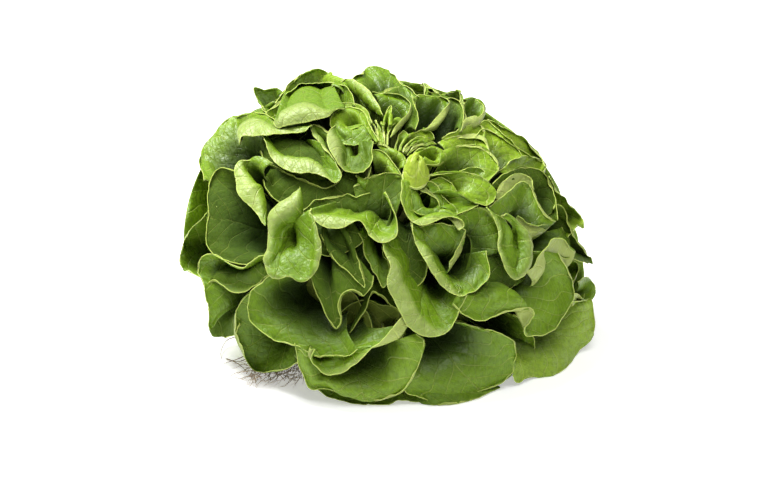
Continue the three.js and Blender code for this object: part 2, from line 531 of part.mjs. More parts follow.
// The edge and the heel of a leaf that the front view doesn't reach
function hiddenRows(polar, turn, share, random) {
  const edges = [];
  const lean = (random() - 0.5) * HIDDEN_LEAN;
  const width = HIDDEN_HALF_WIDTH / Math.max(0.6, Math.sin(THREE.MathUtils.degToRad(polar)));
  for (let i = 0; i < HIDDEN_POINTS; i += 1) {
    const side = (2 * i) / (HIDDEN_POINTS - 1) - 1;
    const drop = 1 - Math.sqrt(Math.max(0, 1 - side * side * 0.98));
    const wave = (random() - 0.5) * HIDDEN_WAVE;
    const height = polar - HIDDEN_HEIGHT / 2 + drop * HIDDEN_HEIGHT + wave;
    edges.push(onDome(height, turn + lean * side + Math.sin((side * Math.PI) / 2) * width, share));
  }
  const folds = edges.map((edge) => edge.clone().lerp(CENTRE, 0.015));
  const heelHeight = Math.min(HIDDEN_LOWEST_HEEL, polar + HIDDEN_HEIGHT * 1.1);
  return { edges, folds, heel: onDome(heelHeight, turn, share * 0.84) };
}

// The length of a drawn rim
function rimLength([, , , outline]) {
  const points = outline.map(([x, y]) => new THREE.Vector2(x, y));
  return new THREE.SplineCurve(points).getLength();
}

// A smooth row of evenly spread points through a drawn one
function spread(points, count) {
  return new THREE.CatmullRomCurve3(points, false, "centripetal").getSpacedPoints(count - 1);
}

// Three rows of points of a leaf, at its root, its heel and its fold
function bladeRows({ edges, folds, heel }) {
  const length = new THREE.CatmullRomCurve3(edges, false, "centripetal").getLength();
  const steps = Math.round(length / STEP_ALONG_RIM) + 2;
  const count = Math.min(MOST_ALONG_RIM, Math.max(FEWEST_ALONG_RIM, steps));
  const edge = spread(edges, count);
  const fold = spread(folds, count);
  const middle = new THREE.Vector3();
  fold.forEach((point) => middle.add(point));
  middle.divideScalar(count);
  const outward = middle.clone().sub(CENTRE);
  const polar = outward.angleTo(AXIS) / Math.PI;
  const level = THREE.MathUtils.lerp(BASE_HIGH, BASE_LOW, Math.min(1, polar * 1.4));
  const base = CENTRE.clone().addScaledVector(AXIS, level);
  base.add(heel.clone().sub(base).setLength(BASE_REACH));
  const across = edge[count - 1].clone().sub(edge[0]).normalize();
  const roots = [];
  const heels = [];
  edge.forEach((point, i) => {
    const share = i / (count - 1) - 0.5;
    roots.push(base.clone().addScaledVector(across, share * BASE_WIDTH));
    heels.push(fold[i].clone().sub(middle).multiplyScalar(HEEL_SPREAD).add(heel));
  });
  const rows = [roots, heels, fold];
  rows.flat().forEach((point) => {
    point.z = Math.max(point.z, BLADE_THICKNESS / 2);
  });
  return rows;
}

// A closed blade of even thickness round a grid of points
function blade(rows, thickness) {
  const across = rows[0].length;
  const down = rows.length;
  const sheet = new THREE.PlaneGeometry(1, 1, across - 1, down - 1);
  rows.flat().forEach((point, i) => sheet.attributes.position.setXYZ(i, point.x, point.y, point.z));
  sheet.computeVertexNormals();
  const { position, normal } = sheet.attributes;
  const total = position.count;
  const points = [];
  for (const side of [1, -1]) {
    for (let i = 0; i < total; i += 1) {
      const point = new THREE.Vector3().fromBufferAttribute(position, i);
      point.addScaledVector(new THREE.Vector3().fromBufferAttribute(normal, i), (side * thickness) / 2);
      points.push(...point.toArray());
    }
  }
  const index = [];
  const faces = sheet.index.array;
  for (let i = 0; i < faces.length; i += 3) {
    index.push(faces[i], faces[i + 1], faces[i + 2]);
    index.push(faces[i] + total, faces[i + 2] + total, faces[i + 1] + total);
  }
  const border = [];
  for (let i = 0; i < across - 1; i += 1) {
    border.push([i + 1, i], [(down - 1) * across + i, (down - 1) * across + i + 1]);
  }
  for (let j = 0; j < down - 1; j += 1) {
    border.push([j * across, (j + 1) * across], [(j + 2) * across - 1, (j + 1) * across - 1]);
  }
  for (const [from, to] of border) {
    index.push(to, from, from + total, to, from + total, to + total);
  }
  const geometry = new THREE.BufferGeometry();
  geometry.setAttribute("position", new THREE.Float32BufferAttribute(points, 3));
  geometry.setIndex(index);
  return solidFrom(geometry);
}

// A turned solid about the head's axis, from [radius, level] pairs
function turned(profile, sides) {
  const outline = profile.map(([radius, level]) => new THREE.Vector2(radius, level));
  const lathe = new THREE.LatheGeometry(outline, sides);
  const turn = new THREE.Quaternion().setFromUnitVectors(new THREE.Vector3(0, 1, 0), AXIS);
  lathe.applyQuaternion(turn);
  lathe.translate(CENTRE.x, CENTRE.y, CENTRE.z);
  return solidFrom(lathe);
}

// The close inner leaves, as one rounded body
function core(swell) {
  const profile = [];
  const steps = 8;
  for (let i = 0; i <= steps; i += 1) {
    const angle = -Math.PI / 2 + (Math.PI * i) / steps;
    const radius = i === 0 || i === steps ? 0 : (CORE_ACROSS + swell) * Math.cos(angle);
    profile.push([radius, CORE_LIFT + (CORE_ALONG + swell) * Math.sin(angle)]);
  }
  return turned(profile, 12);
}

// What is above the surface that the head lies on
function aboveSurface(solid) {
  const depth = 100;
  const slab = new THREE.BoxGeometry(600, 600, depth);
  slab.translate(0, 0, -depth / 2);
  return solid.subtract(solidFrom(slab));
}

// The stalk that the leaves grow from
function stem(swell) {
  const r = STEM_RADIUS + swell;
  const low = STEM_BOTTOM - swell;
  return turned([[0, low], [r * 0.85, low], [r, low + 6], [r * 1.15, STEM_TOP], [0, STEM_TOP + swell]], 12);
}

// One fine root along points on the surface and in the air beside the plug
function root(points, swell) {
  const curve = new THREE.CatmullRomCurve3(points.map((point) => new THREE.Vector3(...point)));
  const section = new THREE.Shape();
  for (let i = 0; i < ROOT_SIDES; i += 1) {
    const angle = (2 * Math.PI * i) / ROOT_SIDES;
    const place = [(ROOT_RADIUS + swell) * Math.cos(angle), (ROOT_RADIUS + swell) * Math.sin(angle)];
    if (i === 0) section.moveTo(...place);
    else section.lineTo(...place);
  }
  const steps = points.length * 2;
  return solidFrom(new THREE.ExtrudeGeometry(section, { steps, curveSegments: 1, extrudePath: curve }));
}

// The root plug under the stalk and the thick roots that leave it
function roots(swell) {
  const r = PLUG_RADIUS + swell;
  const top = STEM_BOTTOM - CLEARANCE + swell;
  let solid = turned([[0, PLUG_BOTTOM], [r * 0.7, PLUG_BOTTOM], [r, top - 8], [r * 0.8, top], [0, top]], 10);
  const foot = CENTRE.clone().addScaledVector(AXIS, STEM_BOTTOM - 6);
  for (const [x, y, z] of ROOT_ENDS) {
    const half = [foot.x + (x - foot.x) * 0.4, foot.y + (y - foot.y) * 0.45, 3.5];
    solid = solid.add(root([[foot.x, foot.y, foot.z], half, [x, y, z]], swell));
  }
  return aboveSurface(solid);
}

// The swollen solids and the bodies that every new solid is cut clear of
const cutters = [];
const bodies = [];
const lettuce = new THREE.Group();

// Whether two boxes overlap
function overlap(one, other) {
  return [0, 1, 2].every((i) => one.min[i] <= other.max[i] && other.min[i] <= one.max[i]);
}

// A solid cut by a body that still touches it, moved a little to each side
function cutByMovedBody(solid, body) {
  let rest = solid;
  for (const axis of [0, 1, 2]) {
    for (const side of [-CLEARANCE, CLEARANCE]) {
      const move = [0, 0, 0];
      move[axis] = side;
      rest = rest.subtract(body.translate(move));
    }
  }
  return rest.subtract(body);
}

// A solid cut clear of all those placed before it
function cutClear(solid) {
  let rest = solid;
  const box = solid.boundingBox();
  for (const cutter of cutters) {
    if (overlap(box, cutter.box)) {
      rest = rest.subtract(cutter.solid);
    }
  }
  for (const body of bodies) {
    if (overlap(box, body.box) && rest.intersect(body.solid).volume() > LEAST_OVERLAP) {
      rest = cutByMovedBody(rest, body.solid);
    }
  }
  return rest;
}

// Keeps later solids out of this one
function keepClearOf(solid) {
  cutters.push({ solid, box: solid.boundingBox() });
}

// Adds a solid to the head as a mesh of its own
function place(name, solid, color, roughness) {
  const body = largestPiece(cutClear(solid));
  bodies.push({ solid: body, box: body.boundingBox() });
  const material = new THREE.MeshStandardMaterial({ color, roughness, metalness: 0 });
  const mesh = new THREE.Mesh(geometryFrom(body), material);
  mesh.name = name;
  lettuce.add(mesh);
}

// A leaf's blade, and the same blade swollen by the clearance
function leafSolids(rows) {
  const plain = aboveSurface(blade(rows, BLADE_THICKNESS));
  const swollen = blade(rows, BLADE_THICKNESS + 2 * CLEARANCE);
  return { plain, swollen };
}

// Adds a leaf and keeps later ones clear of it
function placeLeaf(name, rows, color) {
  const { plain, swollen } = leafSolids(rows);
  place(name, plain, color, LEAF_ROUGHNESS);
  keepClearOf(swollen);
}

place("stem", stem(0), STEM_COLOUR, LEAF_ROUGHNESS);
keepClearOf(stem(CLEARANCE));
place("roots", roots(0), ROOT_COLOUR, ROOT_ROUGHNESS);
keepClearOf(roots(CLEARANCE));

const heartLeaves = LEAVES.filter((leaf) => !LARGE.includes(leaf[0]) && rimLength(leaf) > SHORTEST_RIM);
const heartSolids = heartLeaves.map((leaf) => leafSolids(bladeRows(drawnRows(leaf))));
const heart = wasm.Manifold.union([core(0), ...heartSolids.map(({ plain }) => plain)]);
place("heart", heart, HEART_COLOUR, LEAF_ROUGHNESS);
heartSolids.forEach(({ swollen }) => keepClearOf(swollen));
keepClearOf(core(CLEARANCE));

for (const leaf of LEAVES.filter(([name]) => LARGE.includes(name))) {
  placeLeaf(leaf[0], bladeRows(drawnRows(leaf)), LEAF_COLOUR);
}

const random = randomFrom(SEED);
for (const [polar, number, share] of HIDDEN_RINGS) {
  for (let i = 0; i < number; i += 1) {
    const turn = (360 * (i + (polar % 7) / 7)) / number + (random() - 0.5) * HIDDEN_TURN;
    const direction = onDome(polar, turn, 1).sub(CENTRE);
    const normal = toSphere(toSphere(direction)).normalize();
    const rows = hiddenRows(polar, turn, share, random);
    if (normal.dot(TO_EYE) < HIDDEN_VIEW_LIMIT) {
      placeLeaf(`hidden_${polar}_${i}`, bladeRows(rows), HIDDEN_LEAF_COLOUR);
    }
  }
}

// The origin is the middle of the flat spot under the roots
lettuce.position.set(ORIGIN_SHIFT_X, ORIGIN_SHIFT_Y, 0);

export default lettuce;
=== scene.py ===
"""A butterhead lettuce head on a pale glossy floor, in metres, in the frame of its solid model."""
import math

import bpy
import numpy as np
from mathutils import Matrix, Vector


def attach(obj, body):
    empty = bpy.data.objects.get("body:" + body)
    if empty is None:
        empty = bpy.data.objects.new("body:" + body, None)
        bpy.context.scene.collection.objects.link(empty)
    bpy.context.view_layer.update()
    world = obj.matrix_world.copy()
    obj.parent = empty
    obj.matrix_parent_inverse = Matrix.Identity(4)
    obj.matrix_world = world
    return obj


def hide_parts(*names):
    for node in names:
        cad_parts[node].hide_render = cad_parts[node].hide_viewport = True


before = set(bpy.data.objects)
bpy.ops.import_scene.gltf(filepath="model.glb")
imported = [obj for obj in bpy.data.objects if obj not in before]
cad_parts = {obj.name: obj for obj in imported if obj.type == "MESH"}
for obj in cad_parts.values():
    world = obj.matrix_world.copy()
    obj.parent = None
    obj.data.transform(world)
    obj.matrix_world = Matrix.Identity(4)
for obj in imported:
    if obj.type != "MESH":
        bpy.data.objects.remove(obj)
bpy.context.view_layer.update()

MM = 0.001

# The head: a flattened dome of leaves about an axis that leans to the front and to the right
CENTRE = np.array([12.0, -32.0, 55.0]) * MM
AXIS = np.array([0.199, -0.502, 0.843])
AXIS = AXIS / np.linalg.norm(AXIS)
RADIUS_ACROSS = 130 * MM
RADIUS_ALONG = 86 * MM

# The eye that the leaf outlines are drawn from, and a plane through the centre of the head
EYE_DISTANCE = 1400 * MM
EYE_HEIGHT_ANGLE = math.radians(20)
PICTURE_WIDTH = 481.25 * MM
SENSOR_WIDTH = 36.0
PICTURE_RIGHT = np.array([1.0, 0.0, 0.0])
TO_EYE = np.array([0.0, -math.cos(EYE_HEIGHT_ANGLE), math.sin(EYE_HEIGHT_ANGLE)])
PICTURE_UP = np.array([0.0, math.sin(EYE_HEIGHT_ANGLE), math.cos(EYE_HEIGHT_ANGLE)])
EYE = CENTRE + TO_EYE * EYE_DISTANCE
SIDE_A = np.cross(AXIS, PICTURE_RIGHT)
SIDE_A = SIDE_A / np.linalg.norm(SIDE_A)
SIDE_B = np.cross(SIDE_A, AXIS)

# Blades, thinner than in the solid model, and where they leave the stem
BLADE_THICKNESS = 0.6 * MM
EDGE_THICKNESS = 0.4 * MM
FLOOR_CLEARANCE = 0.45 * MM
BASE_WIDTH = 12 * MM
BASE_LOW = -34 * MM
BASE_HIGH = 2 * MM
BASE_DROP = 1.4
BASE_REACH = 20 * MM

# The heel's place between the stem and the fold, and its width as a share of the fold's. The leaves
# with a width of their own close to a bowl.
HEEL_PLACE = 0.55
HEEL_SPREAD = 0.55
BOWL_SPREADS = {
    "left_spoon": 0.18, "right_tongue": 0.2, "left_cup": 0.25, "crown_spoon": 0.06,
    "crown_left_pocket": 0.3, "right_curl": 0.3,
}

# Leaves by rule, in rings of [angle from the crown, number, share of the dome's size], with angles in
# degrees. The remainder of a ring's angle by its phases sets where it starts, and a turn sways each leaf.
HIDDEN_RINGS = [(72, 11, 0.97), (98, 10, 1.0), (124, 7, 1.0)]
HIDDEN_PHASES = 7
HIDDEN_TURN = 6
HIDDEN_SEED = 12
HIDDEN_DRAW_IN = {"hidden_124_4": 0.15, "hidden_98_8": 0.03}
USUAL_DRAW_IN = 0.015
INNER_RINGS = [(35, 7, 0.74), (62, 9, 0.76), (88, 10, 0.76), (112, 9, 0.78)]
INNER_PHASES = 5
INNER_TURN = 9
INNER_VIEW_LIMIT = 0.1
HIDDEN_POINTS = 9
HIDDEN_HALF_WIDTH = 23
HIDDEN_HEIGHT = 22
HIDDEN_LEAN = 8
HIDDEN_WAVE = 5
HIDDEN_ROUNDING = 0.98
HIDDEN_COARSENESS = 1.3
HIDDEN_CREST_IN = 0.015
NARROWEST_RING = 0.6
LOWEST_RING = 120
LOWEST_HEEL = 0.84
HIGHER_HEEL = 0.74
HEEL_FALL = 1.1
DEEPEST_HEEL = 150

# Fineness of the blades, and how their rows crowd: powers of a row's place in the blade and in the lip
STEP_ALONG_RIM = 1.25 * MM
STEPS_BETWEEN_POINTS = 16
FEWEST_COLUMNS = 24
MOST_COLUMNS = 240
ROWS_IN_BLADE = 40
ROWS_IN_LIP = 10
BLADE_CROWDING = 0.8
LIP_CROWDING = 1.6

# Smoothing of the rows, as numbers of passes, and the width of the bend over the crest that it rounds
RIM_PASSES = 6
FOLD_PASSES = 8
CREST_PASSES = 6
BEND_PASSES = 2
BEND_WIDTH = 0.08

# How far the blade behind the rim sinks towards the middle of the head, and more so behind a fold
SCOOP = 1.5 * MM
FOLD_SCOOP = 5 * MM
WIDE_FOLD = 5 * MM
SCOOP_SHAPE = 0.6

# Folds as [lift of the crest as a share of the dome, roundness of the lip]. The folds of the leaves
# named here stand up as a round roll, and the others lie nearly flat.
ROLLED = ["upper_glossy", "left_spoon", "right_tongue"]
FLAT_FOLD = (-0.012, 0.16)
ROUND_FOLD = (0.012, 0.34)
CREST_DROP = 0.01
FULL_LIFT = 2
FULL_LIP = 3 * MM
LIP_FALL = 0.5

# A leaf whose heel lies at this share of the dome gets painted shade towards it, and less so above it
DEEP_HEEL = 0.87
SHALLOW_LIGHTENING = 6

# Veins, with how the midrib narrows and bends, how the other veins slant and how often they take its bend
RIB_WIDTH = 1.1 * MM
RIB_TAPER = 1.6
SIDE_VEIN_SPACING = 9.5 * MM
SIDE_VEIN_SLANT = 0.8
SIDE_VEIN_BEND = 2
FINE_VEIN_SPACING = 5.2 * MM
FINE_VEIN_SLANT = 0.9
FINE_VEIN_BEND = 3
BEND_LENGTH = 14 * MM
BEND_PHASE = 5
BEND_SIZE = 2.2

# Waves in millimetres: of the rim in the picture plane and across the blade near its edge, as [length,
# place in the noise, height], and the swelling of the blade, as [length, places in the noise, height]
RIM_WAVES = [(12.0, 3, 0.35), (3.4, 9, 0.16), (1.7, 17, 0.14)]
RIM_FADE = 6
RUFFLES = [(15, 4, 1.5), (5, 8, 0.5)]
SWELLINGS = [(13, 11, 3, 1.2), (4.6, 7, 19, 0.28)]
QUILTING = 0.3 * MM
SIDE_QUILTING = 2
FINE_QUILTING = 6
RELIEF_FULL_AT = 0.6
NEAR_EDGE = 0.8
EDGE_CALM = 0.5
RIM_WIDTH = 0.42 * MM

# Seeds of the random draws, to which the leaf's number is added, and the first numbers of leaves by rule
BLADE_SEED = 100
TINT_SEED = 500
RIM_SEED = 900
HIDDEN_NUMBER = 200
INNER_NUMBER = 400

# The solid model's stream of draws: each is the last one times a factor plus a step, up to a count
DRAW_FACTOR = 1664525
DRAW_STEP = 1013904223
DRAW_COUNT = 2 ** 32

# Tints go from 0 for the darkest leaf to 1 for the palest, and hold painted light and shade as well as the
# leaf's
# own tone: that of the leaves deep in the head, darkest as painted shade, and the range for a leaf whose
# tint is drawn at random
DEEP_SHADE_TINT = 0.0
USUAL_TINTS = (0.35, 0.65)

# Every leaf of the front view, in millimetres of the picture plane: name, share of the dome's size, tint
# or None, heel [x, y, share] where the blade comes out between its neighbours, and rim as [x, y, fold].
# A fold is the width of the lip that turns over at that point, and a negative one turns the underside
# up. A leaf whose name isn't a node of the solid model stands for its heart.
# A tint holds the leaf's own tone and painted light and shade together: leaves that lie in shade take dark
# tints, and leaves that catch the light take pale ones.
LEAVES = [
    # Outer leaves, from the left round the front to the right
    ["left_high", 1.00, 0.65, [-86, 52, 0.8], [[-68, 80], [-76, 84.5], [-84, 86], [-92, 84], [-100, 80],
     [-106, 73], [-112, 67], [-115, 60], [-116, 53], [-113, 43]]],
    ["left_wing", 0.97, 0.35, [-95, 2, 0.7], [[-105, 27], [-112, 22], [-118, 16], [-123, 9.5], [-126, 3],
     [-128.5, -6], [-128, -9.5], [-124.5, -12.5], [-120, -16], [-113, -18]]],
    ["left_dark", 1.00, 0.0, [-78, 14, 0.8], [[-88, 50], [-95, 50], [-102, 52], [-107.5, 48], [-110, 40],
     [-111, 28], [-111.5, 15], [-111, 5], [-108, -2], [-102, -5.5], [-94, -8], [-85, -9]]],
    ["left_fold", 1.00, 0.5, [-84, -14, 0.82], [[-74, -3], [-80, -4, 1], [-85, -7, 2], [-89, -9.3, 2],
     [-94, -9, 1], [-100, -7], [-106, -4], [-111, -2.5, 1], [-115.5, -4, 1], [-118, -8.5, 1],
     [-118, -15, 1], [-116, -19, 1.5], [-114, -25, 1.5], [-112.5, -32, 2], [-110, -39, 2], [-109.5, -45, 1],
     [-108, -49]]],
    ["left_shelf", 0.97, 0.2, [-84, -10, 0.85], [[-111, -24], [-110, -21], [-108, -19.5], [-105, -21, 1],
     [-100, -24.5, 2], [-95, -26, 2], [-88, -25.5, 2], [-82, -23.5, 1], [-76, -19.5], [-70, -15]]],
    ["left_low", 0.93, 0.2, [-88, -26, 0.75], [[-109, -22], [-110.5, -36], [-109.5, -47], [-108.5, -53],
     [-104, -54.5], [-98, -54], [-93, -52], [-90, -46]]],
    ["front_left_under", 0.94, 0.35, [-60, -44, 0.72], [[-80, -22], [-88, -29], [-92.5, -38], [-94.5, -48],
     [-94, -54], [-90, -63], [-85, -70], [-80, -75], [-74, -77.5], [-67, -76.8], [-60, -74], [-53, -69]]],
    ["front_left_big", 1.01, 0.4, [-48, -36, 0.82], [[-70, -15], [-78, -20], [-84, -25], [-86, -31],
     [-86, -37], [-84, -43], [-79, -48], [-73, -53], [-67, -57], [-60, -59], [-53, -62.5], [-46, -66],
     [-40, -67.5], [-32, -67], [-24, -67], [-17, -62]]],
    ["front_under", 0.98, 0.3, [5, -70, 0.75], [[-44, -84], [-38, -90], [-26, -94], [-12, -96.5],
     [0, -95.5], [10, -93.5], [20, -95], [30, -97], [40, -97], [50, -95], [62, -91], [72, -86]]],
    ["front_low", 1.00, 0.65, [-17, -68, 0.88], [[-56, -58], [-55, -66], [-53, -74], [-49, -82], [-46, -86],
     [-40, -85.3], [-34, -87], [-28, -90], [-22, -91.5], [-14, -94.5], [-6, -94.5], [2, -92.5], [9, -89.5],
     [15, -84], [18.5, -78], [21, -71], [24, -64], [25, -56], [20, -52]]],
    ["front_roll", 1.03, None, [-30, -58, 0.88], [[-44, -62], [-46.5, -68], [-43.5, -73, 1],
     [-38.5, -77, 2], [-32, -78, 3], [-26, -76.5, 4], [-20, -72, 4], [-14, -67, 3], [-8, -62.5, 1],
     [-3, -58, -3], [2, -52, -6], [6, -47, -8], [10.5, -42, -8]]],
    ["front_mid_right", 0.99, 0.6, [31, -57, 0.86], [[16, -74], [13, -87], [17, -89.5], [23, -91],
     [30, -93.5], [38, -94.5], [46, -93], [54, -91], [61, -88.5], [68, -85], [75, -81.5], [80, -77],
     [81.5, -70], [82, -62], [81, -56.5], [73, -53], [62, -50]]],
    ["right_strip", 0.95, None, [68, -44, 0.75], [[82, -83], [84, -80], [86.5, -75.5], [90, -70], [92, -63],
     [91.5, -55], [87, -47], [79, -42]]],
    ["right_low", 1.00, 0.85, [86, -44, 0.82], [[80, -78], [83, -82], [90, -80], [98, -79], [106, -78],
     [112, -74.5], [117, -69], [121, -63.5], [126, -58.5], [130, -53], [131.5, -47], [130.5, -40],
     [128.5, -31], [121, -32], [113, -34]]],
    ["right_curl", 1.00, None, [108, -30, 0.82], [[116, -35], [119, -28], [121, -28.5, -1],
     [124, -30.5, -3], [127.5, -30.5, -3], [130, -27, -2], [130.8, -23, -1], [128.5, -18.5], [125, -17],
     [120, -19.5]]],
    ["right_back_low", 0.96, None, [98, -14, 0.78], [[114, -26], [118, -20], [119.5, -15], [119, -8],
     [116, -5], [109, -4]]],
    ["right_big", 1.03, 0.6, [70, -20, 0.88], [[42, -34], [46, -39, 1], [52, -42, 1], [58, -43.3, 1],
     [64, -43, 1], [69, -41], [75, -38.5], [84, -38], [91, -37.5], [92, -39.5], [89, -44], [86, -49.5, 1],
     [87.5, -52.5, 2], [93, -54, 2], [100, -53, 2], [107, -49.5, 2], [111, -44, 2], [114.5, -38, 2],
     [118, -31, 2], [119, -24, 2], [117, -16, 1], [113, -9], [108, -2]]],
    ["right_arch", 1.03, None, [92, -16, 0.85], [[119, -0.5], [115, 3.5, 1], [111, 6.5, 1], [107, 7.5],
     [103, 5], [100, 0], [97, -6], [94, -11], [89, -14]]],
    ["right_dark_wing", 1.00, 0.15, [98, 6, 0.8], [[108, -3], [115, -5], [121, -6.3], [126, -7],
     [130, -9.3], [128, -5], [124, 1], [120, 7], [117, 13], [114, 19], [111, 25], [108, 27.5], [105, 26]]],
    ["right_pale_wing", 0.98, 0.8, [98, 22, 0.78], [[114, 8], [119, 13], [123, 15], [124, 18], [121, 22.5],
     [116, 28], [111, 33.5], [107, 39], [102, 46]]],
    # Leaves round the right of the crown
    ["right_shelf", 0.97, None, [80, 4, 0.85], [[106, 18], [103, 15], [99, 15], [95, 14.5], [91, 15.3],
     [87, 16.5], [82, 20]]],
    ["right_fold_front", 1.00, None, [78, 16, 0.85], [[107, 18.5], [102, 20.5], [98, 26], [95, 32],
     [93, 37], [90, 41, 1], [87, 43, 2], [84, 42.3, 2], [80, 39, 2], [76, 35, 1.5], [71, 31.5, 1],
     [65, 27]]],
    ["right_fold_back", 0.99, 0.9, [76, 26, 0.82], [[93, 38], [91, 42], [88, 45.5, 1], [84.5, 46.7, 1],
     [80, 45.5], [75, 42], [72, 38], [70, 32]]],
    ["right_arch_dark", 1.00, 0.15, [84, 26, 0.8], [[107.5, 18.5], [107, 24], [106.5, 31], [105.5, 38],
     [103, 44], [99, 48], [94, 50.7], [89, 52.7], [84, 53], [79, 50.5], [74, 47], [67, 41]]],
    ["right_arch_pale", 0.97, 0.8, [82, 38, 0.82], [[99, 49], [101, 53], [97, 57], [91, 59, 2],
     [86, 59.3, 3], [80, 57.5, 2], [76, 54], [72, 49]]],
    ["right_back_gold", 0.98, 0.9, [74, 48, 0.78], [[101, 52], [97, 60], [91, 66], [85, 70], [78, 74.3],
     [70, 78.5], [64, 81]]],
    ["right_back_pale", 0.98, 0.85, [66, 52, 0.8], [[92, 57], [86, 62], [79, 67.5], [73, 72.3], [68, 77],
     [63, 80.8], [59, 79]]],
    ["right_drape", 0.97, 0.8, [60, 52, 0.82], [[87, 58], [82, 63.5], [76, 68], [71, 71.5], [66, 74.5],
     [61, 75], [56, 71]]],
    ["right_ridge", 0.98, 0.85, [48, 58, 0.85], [[63, 74], [60.5, 79, 1], [55, 78.8, 2], [50, 76.7, 2],
     [45, 74.3, 1], [40, 73], [35, 70]]],
    ["right_pale_hood", 0.98, 0.85, [46, 54, 0.86], [[65, 61], [64, 66.5, -1], [60, 70, -2], [54, 71.2, -2],
     [46, 71, -1], [39, 70], [33, 67]]],
    ["right_big_hood", 1.00, 0.7, [44, 46, 0.88], [[64, 41], [68.5, 45, 1], [72, 49.5], [71, 53],
     [68, 57.5, -1], [64, 62.5, -1], [58, 65, -1], [50, 65.6, -1], [42, 64.5], [34, 61.5]]],
    ["right_crescent", 0.98, None, [48, 42, 0.88], [[66, 43], [63.5, 47.5, 1], [58, 50.3, 1], [52, 49.8],
     [45, 48]]],
    ["right_lobe", 1.02, 0.7, [36, 40, 0.92], [[56, 29], [60, 28.5, 1], [64, 28.2, 1], [68, 29.7, 1],
     [70, 33], [69.5, 37], [67, 40.5], [63, 44], [57, 47.3], [50, 48.5], [42, 48.7], [34, 48], [29, 46]]],
    ["right_lens", 1.01, None, [34, 30, 0.92], [[43, 22], [50, 24.5, 1], [55, 26.2, 2], [58.5, 28.7, 1],
     [57.5, 31], [54, 33.5], [49, 35], [42, 36.4], [34, 37]]],
    ["right_lens_low", 0.99, None, [34, 20, 0.9], [[54, 25], [49, 26.5], [44, 27.6], [39, 29], [36, 31.8],
     [34.6, 35], [33, 38.7], [30, 41], [26, 42]]],
    ["right_lens_high", 0.98, None, [28, 34, 0.9], [[46, 34], [44.6, 37.5], [42, 40.7], [38, 43.3],
     [34, 45], [30, 44.5], [27, 43]]],
    ["right_face", 0.99, 0.4, [48, 4, 0.84], [[78, 2], [74, 12], [69, 20], [65, 25], [60, 27.4], [54, 26.7],
     [48, 24], [42, 20.5]]],
    ["right_tongue", 1.04, 0.42, [78, 6, 0.95], [[63, 26.5], [66.5, 22, 2], [69.5, 16, 3], [71.3, 10, 3],
     [70.5, 3, 3], [72, -4, 3], [74.5, -11, 3], [77.5, -16.5, 3], [81, -18.7, 3], [85, -17.7, 4],
     [89, -13.5, 5], [91.5, -8, 5], [92.3, -2, 5], [91, 6, 5], [88, 13, 4], [84, 18, 3], [80, 21.3, 2],
     [76.5, 23, 1], [72, 21.5]]],
    # Leaves in front of the crown
    ["front_crescent", 1.04, 0.65, [24, 26, 0.9], [[11, 44], [10, 37, 1], [9.8, 30, 1], [11, 24.5, 1],
     [14, 20, 2], [18, 16.7, 4], [22, 15.1, 5.5], [27, 15.8, 5.5], [32, 17.8, 4], [37, 20.3, 2], [42, 21],
     [46, 18.8], [49, 15.5], [46, 13]]],
    ["front_inner", 1.00, None, [25, 30, 0.9], [[13, 38], [15, 33], [17.5, 27.5], [20, 23], [24, 20.7],
     [30, 20.8], [35, 22.5], [35, 26.5], [32.3, 31], [28, 35], [23, 39.5]]],
    ["front_upper_lobe", 0.98, None, [35, -8, 0.86], [[40, -7], [44, -1.5], [48, 4], [50.5, 9], [51, 12.5],
     [47, 13.7], [42, 15.5], [34, 16.5], [26, 16], [17, 14]]],
    ["front_spoon", 1.03, 0.55, [38, -8, 0.86], [[16, 18], [17.2, 10, 1], [20, 2, 4], [24, -6, 6],
     [28, -13.5, 6], [33, -20, 6], [39, -26, 5], [45, -28.9, 3], [51, -28.5, 1], [56, -25.5], [61, -20],
     [64.5, -15], [64.7, -8], [63, -0.5]]],
    ["front_long_lip", 1.03, 0.55, [24, -14, 0.8], [[-2, 7], [-1.3, -1, 3], [2, -7, 5], [3, -11, 7],
     [1, -17, 10], [1, -23, 12], [5, -31, 13], [9, -39, 12], [14, -48, 12], [21, -52.5, 12], [28, -54.3, 9],
     [36, -53, 5], [41, -49, 2], [44, -43], [46, -37], [51, -28]]],
    ["front_cup", 1.04, 0.6, [-6, 24, 0.84], [[-46, 26], [-47.5, 22, 3], [-44, 18, 6], [-38, 14, 9],
     [-28, 13, 8], [-20, 16, 3.5], [-16, 17, 1], [-13, 13, 2.5], [-10, 8, 3.5], [-6, 5, 4], [0, 4, 4],
     [5, 6, 2.5], [8, 12], [7, 20], [4, 29], [0, 36]]],
    ["cup_back", 0.98, 0.25, [-4, 16, 0.8], [[11, 34], [11, 41], [9.5, 45.5], [6, 48, 0.5], [1, 47.7, 0.5],
     [-5, 47.3], [-10, 46], [-14, 44], [-20, 40]]],
    ["cup_left_back", 0.96, 0.2, [-24, 16, 0.8], [[-9, 35], [-14, 33], [-18, 31], [-20, 32.3], [-23, 35],
     [-28, 34], [-34, 33.3], [-40, 33, 1], [-45, 31.5, 2], [-49, 28, 2], [-52, 25]]],
    ["left_spoon", 1.04, 0.5, [-56, 8, 0.90], [[-53, 39], [-57, 35.5, 8], [-61, 31, 10], [-66, 27.5, 10],
     [-70.5, 23, 9], [-73.5, 16, 7], [-74.5, 8, 6], [-74.5, 0, 5], [-75.5, -8, 4], [-73.5, -13, 3],
     [-70, -17, 3], [-65, -17.3, 2], [-60, -16.5, 1], [-55, -19, 1], [-50, -19.3, 1], [-46, -17, 2],
     [-43, -12, 3], [-40.5, -5, 4], [-40, 2, 4], [-41.5, 10, 3], [-44, 18, 2], [-47, 25]]],
    ["hanging_leaf", 0.95, 0.2, [-34, -4, 0.85], [[-47, -6], [-46.5, -15], [-45, -21], [-42, -28],
     [-38, -37], [-34, -45], [-30.5, -50], [-28, -47], [-27, -40], [-27.3, -33], [-25, -27], [-21, -26],
     [-17, -27.5], [-14, -29.8], [-10, -25], [-8, -16]]],
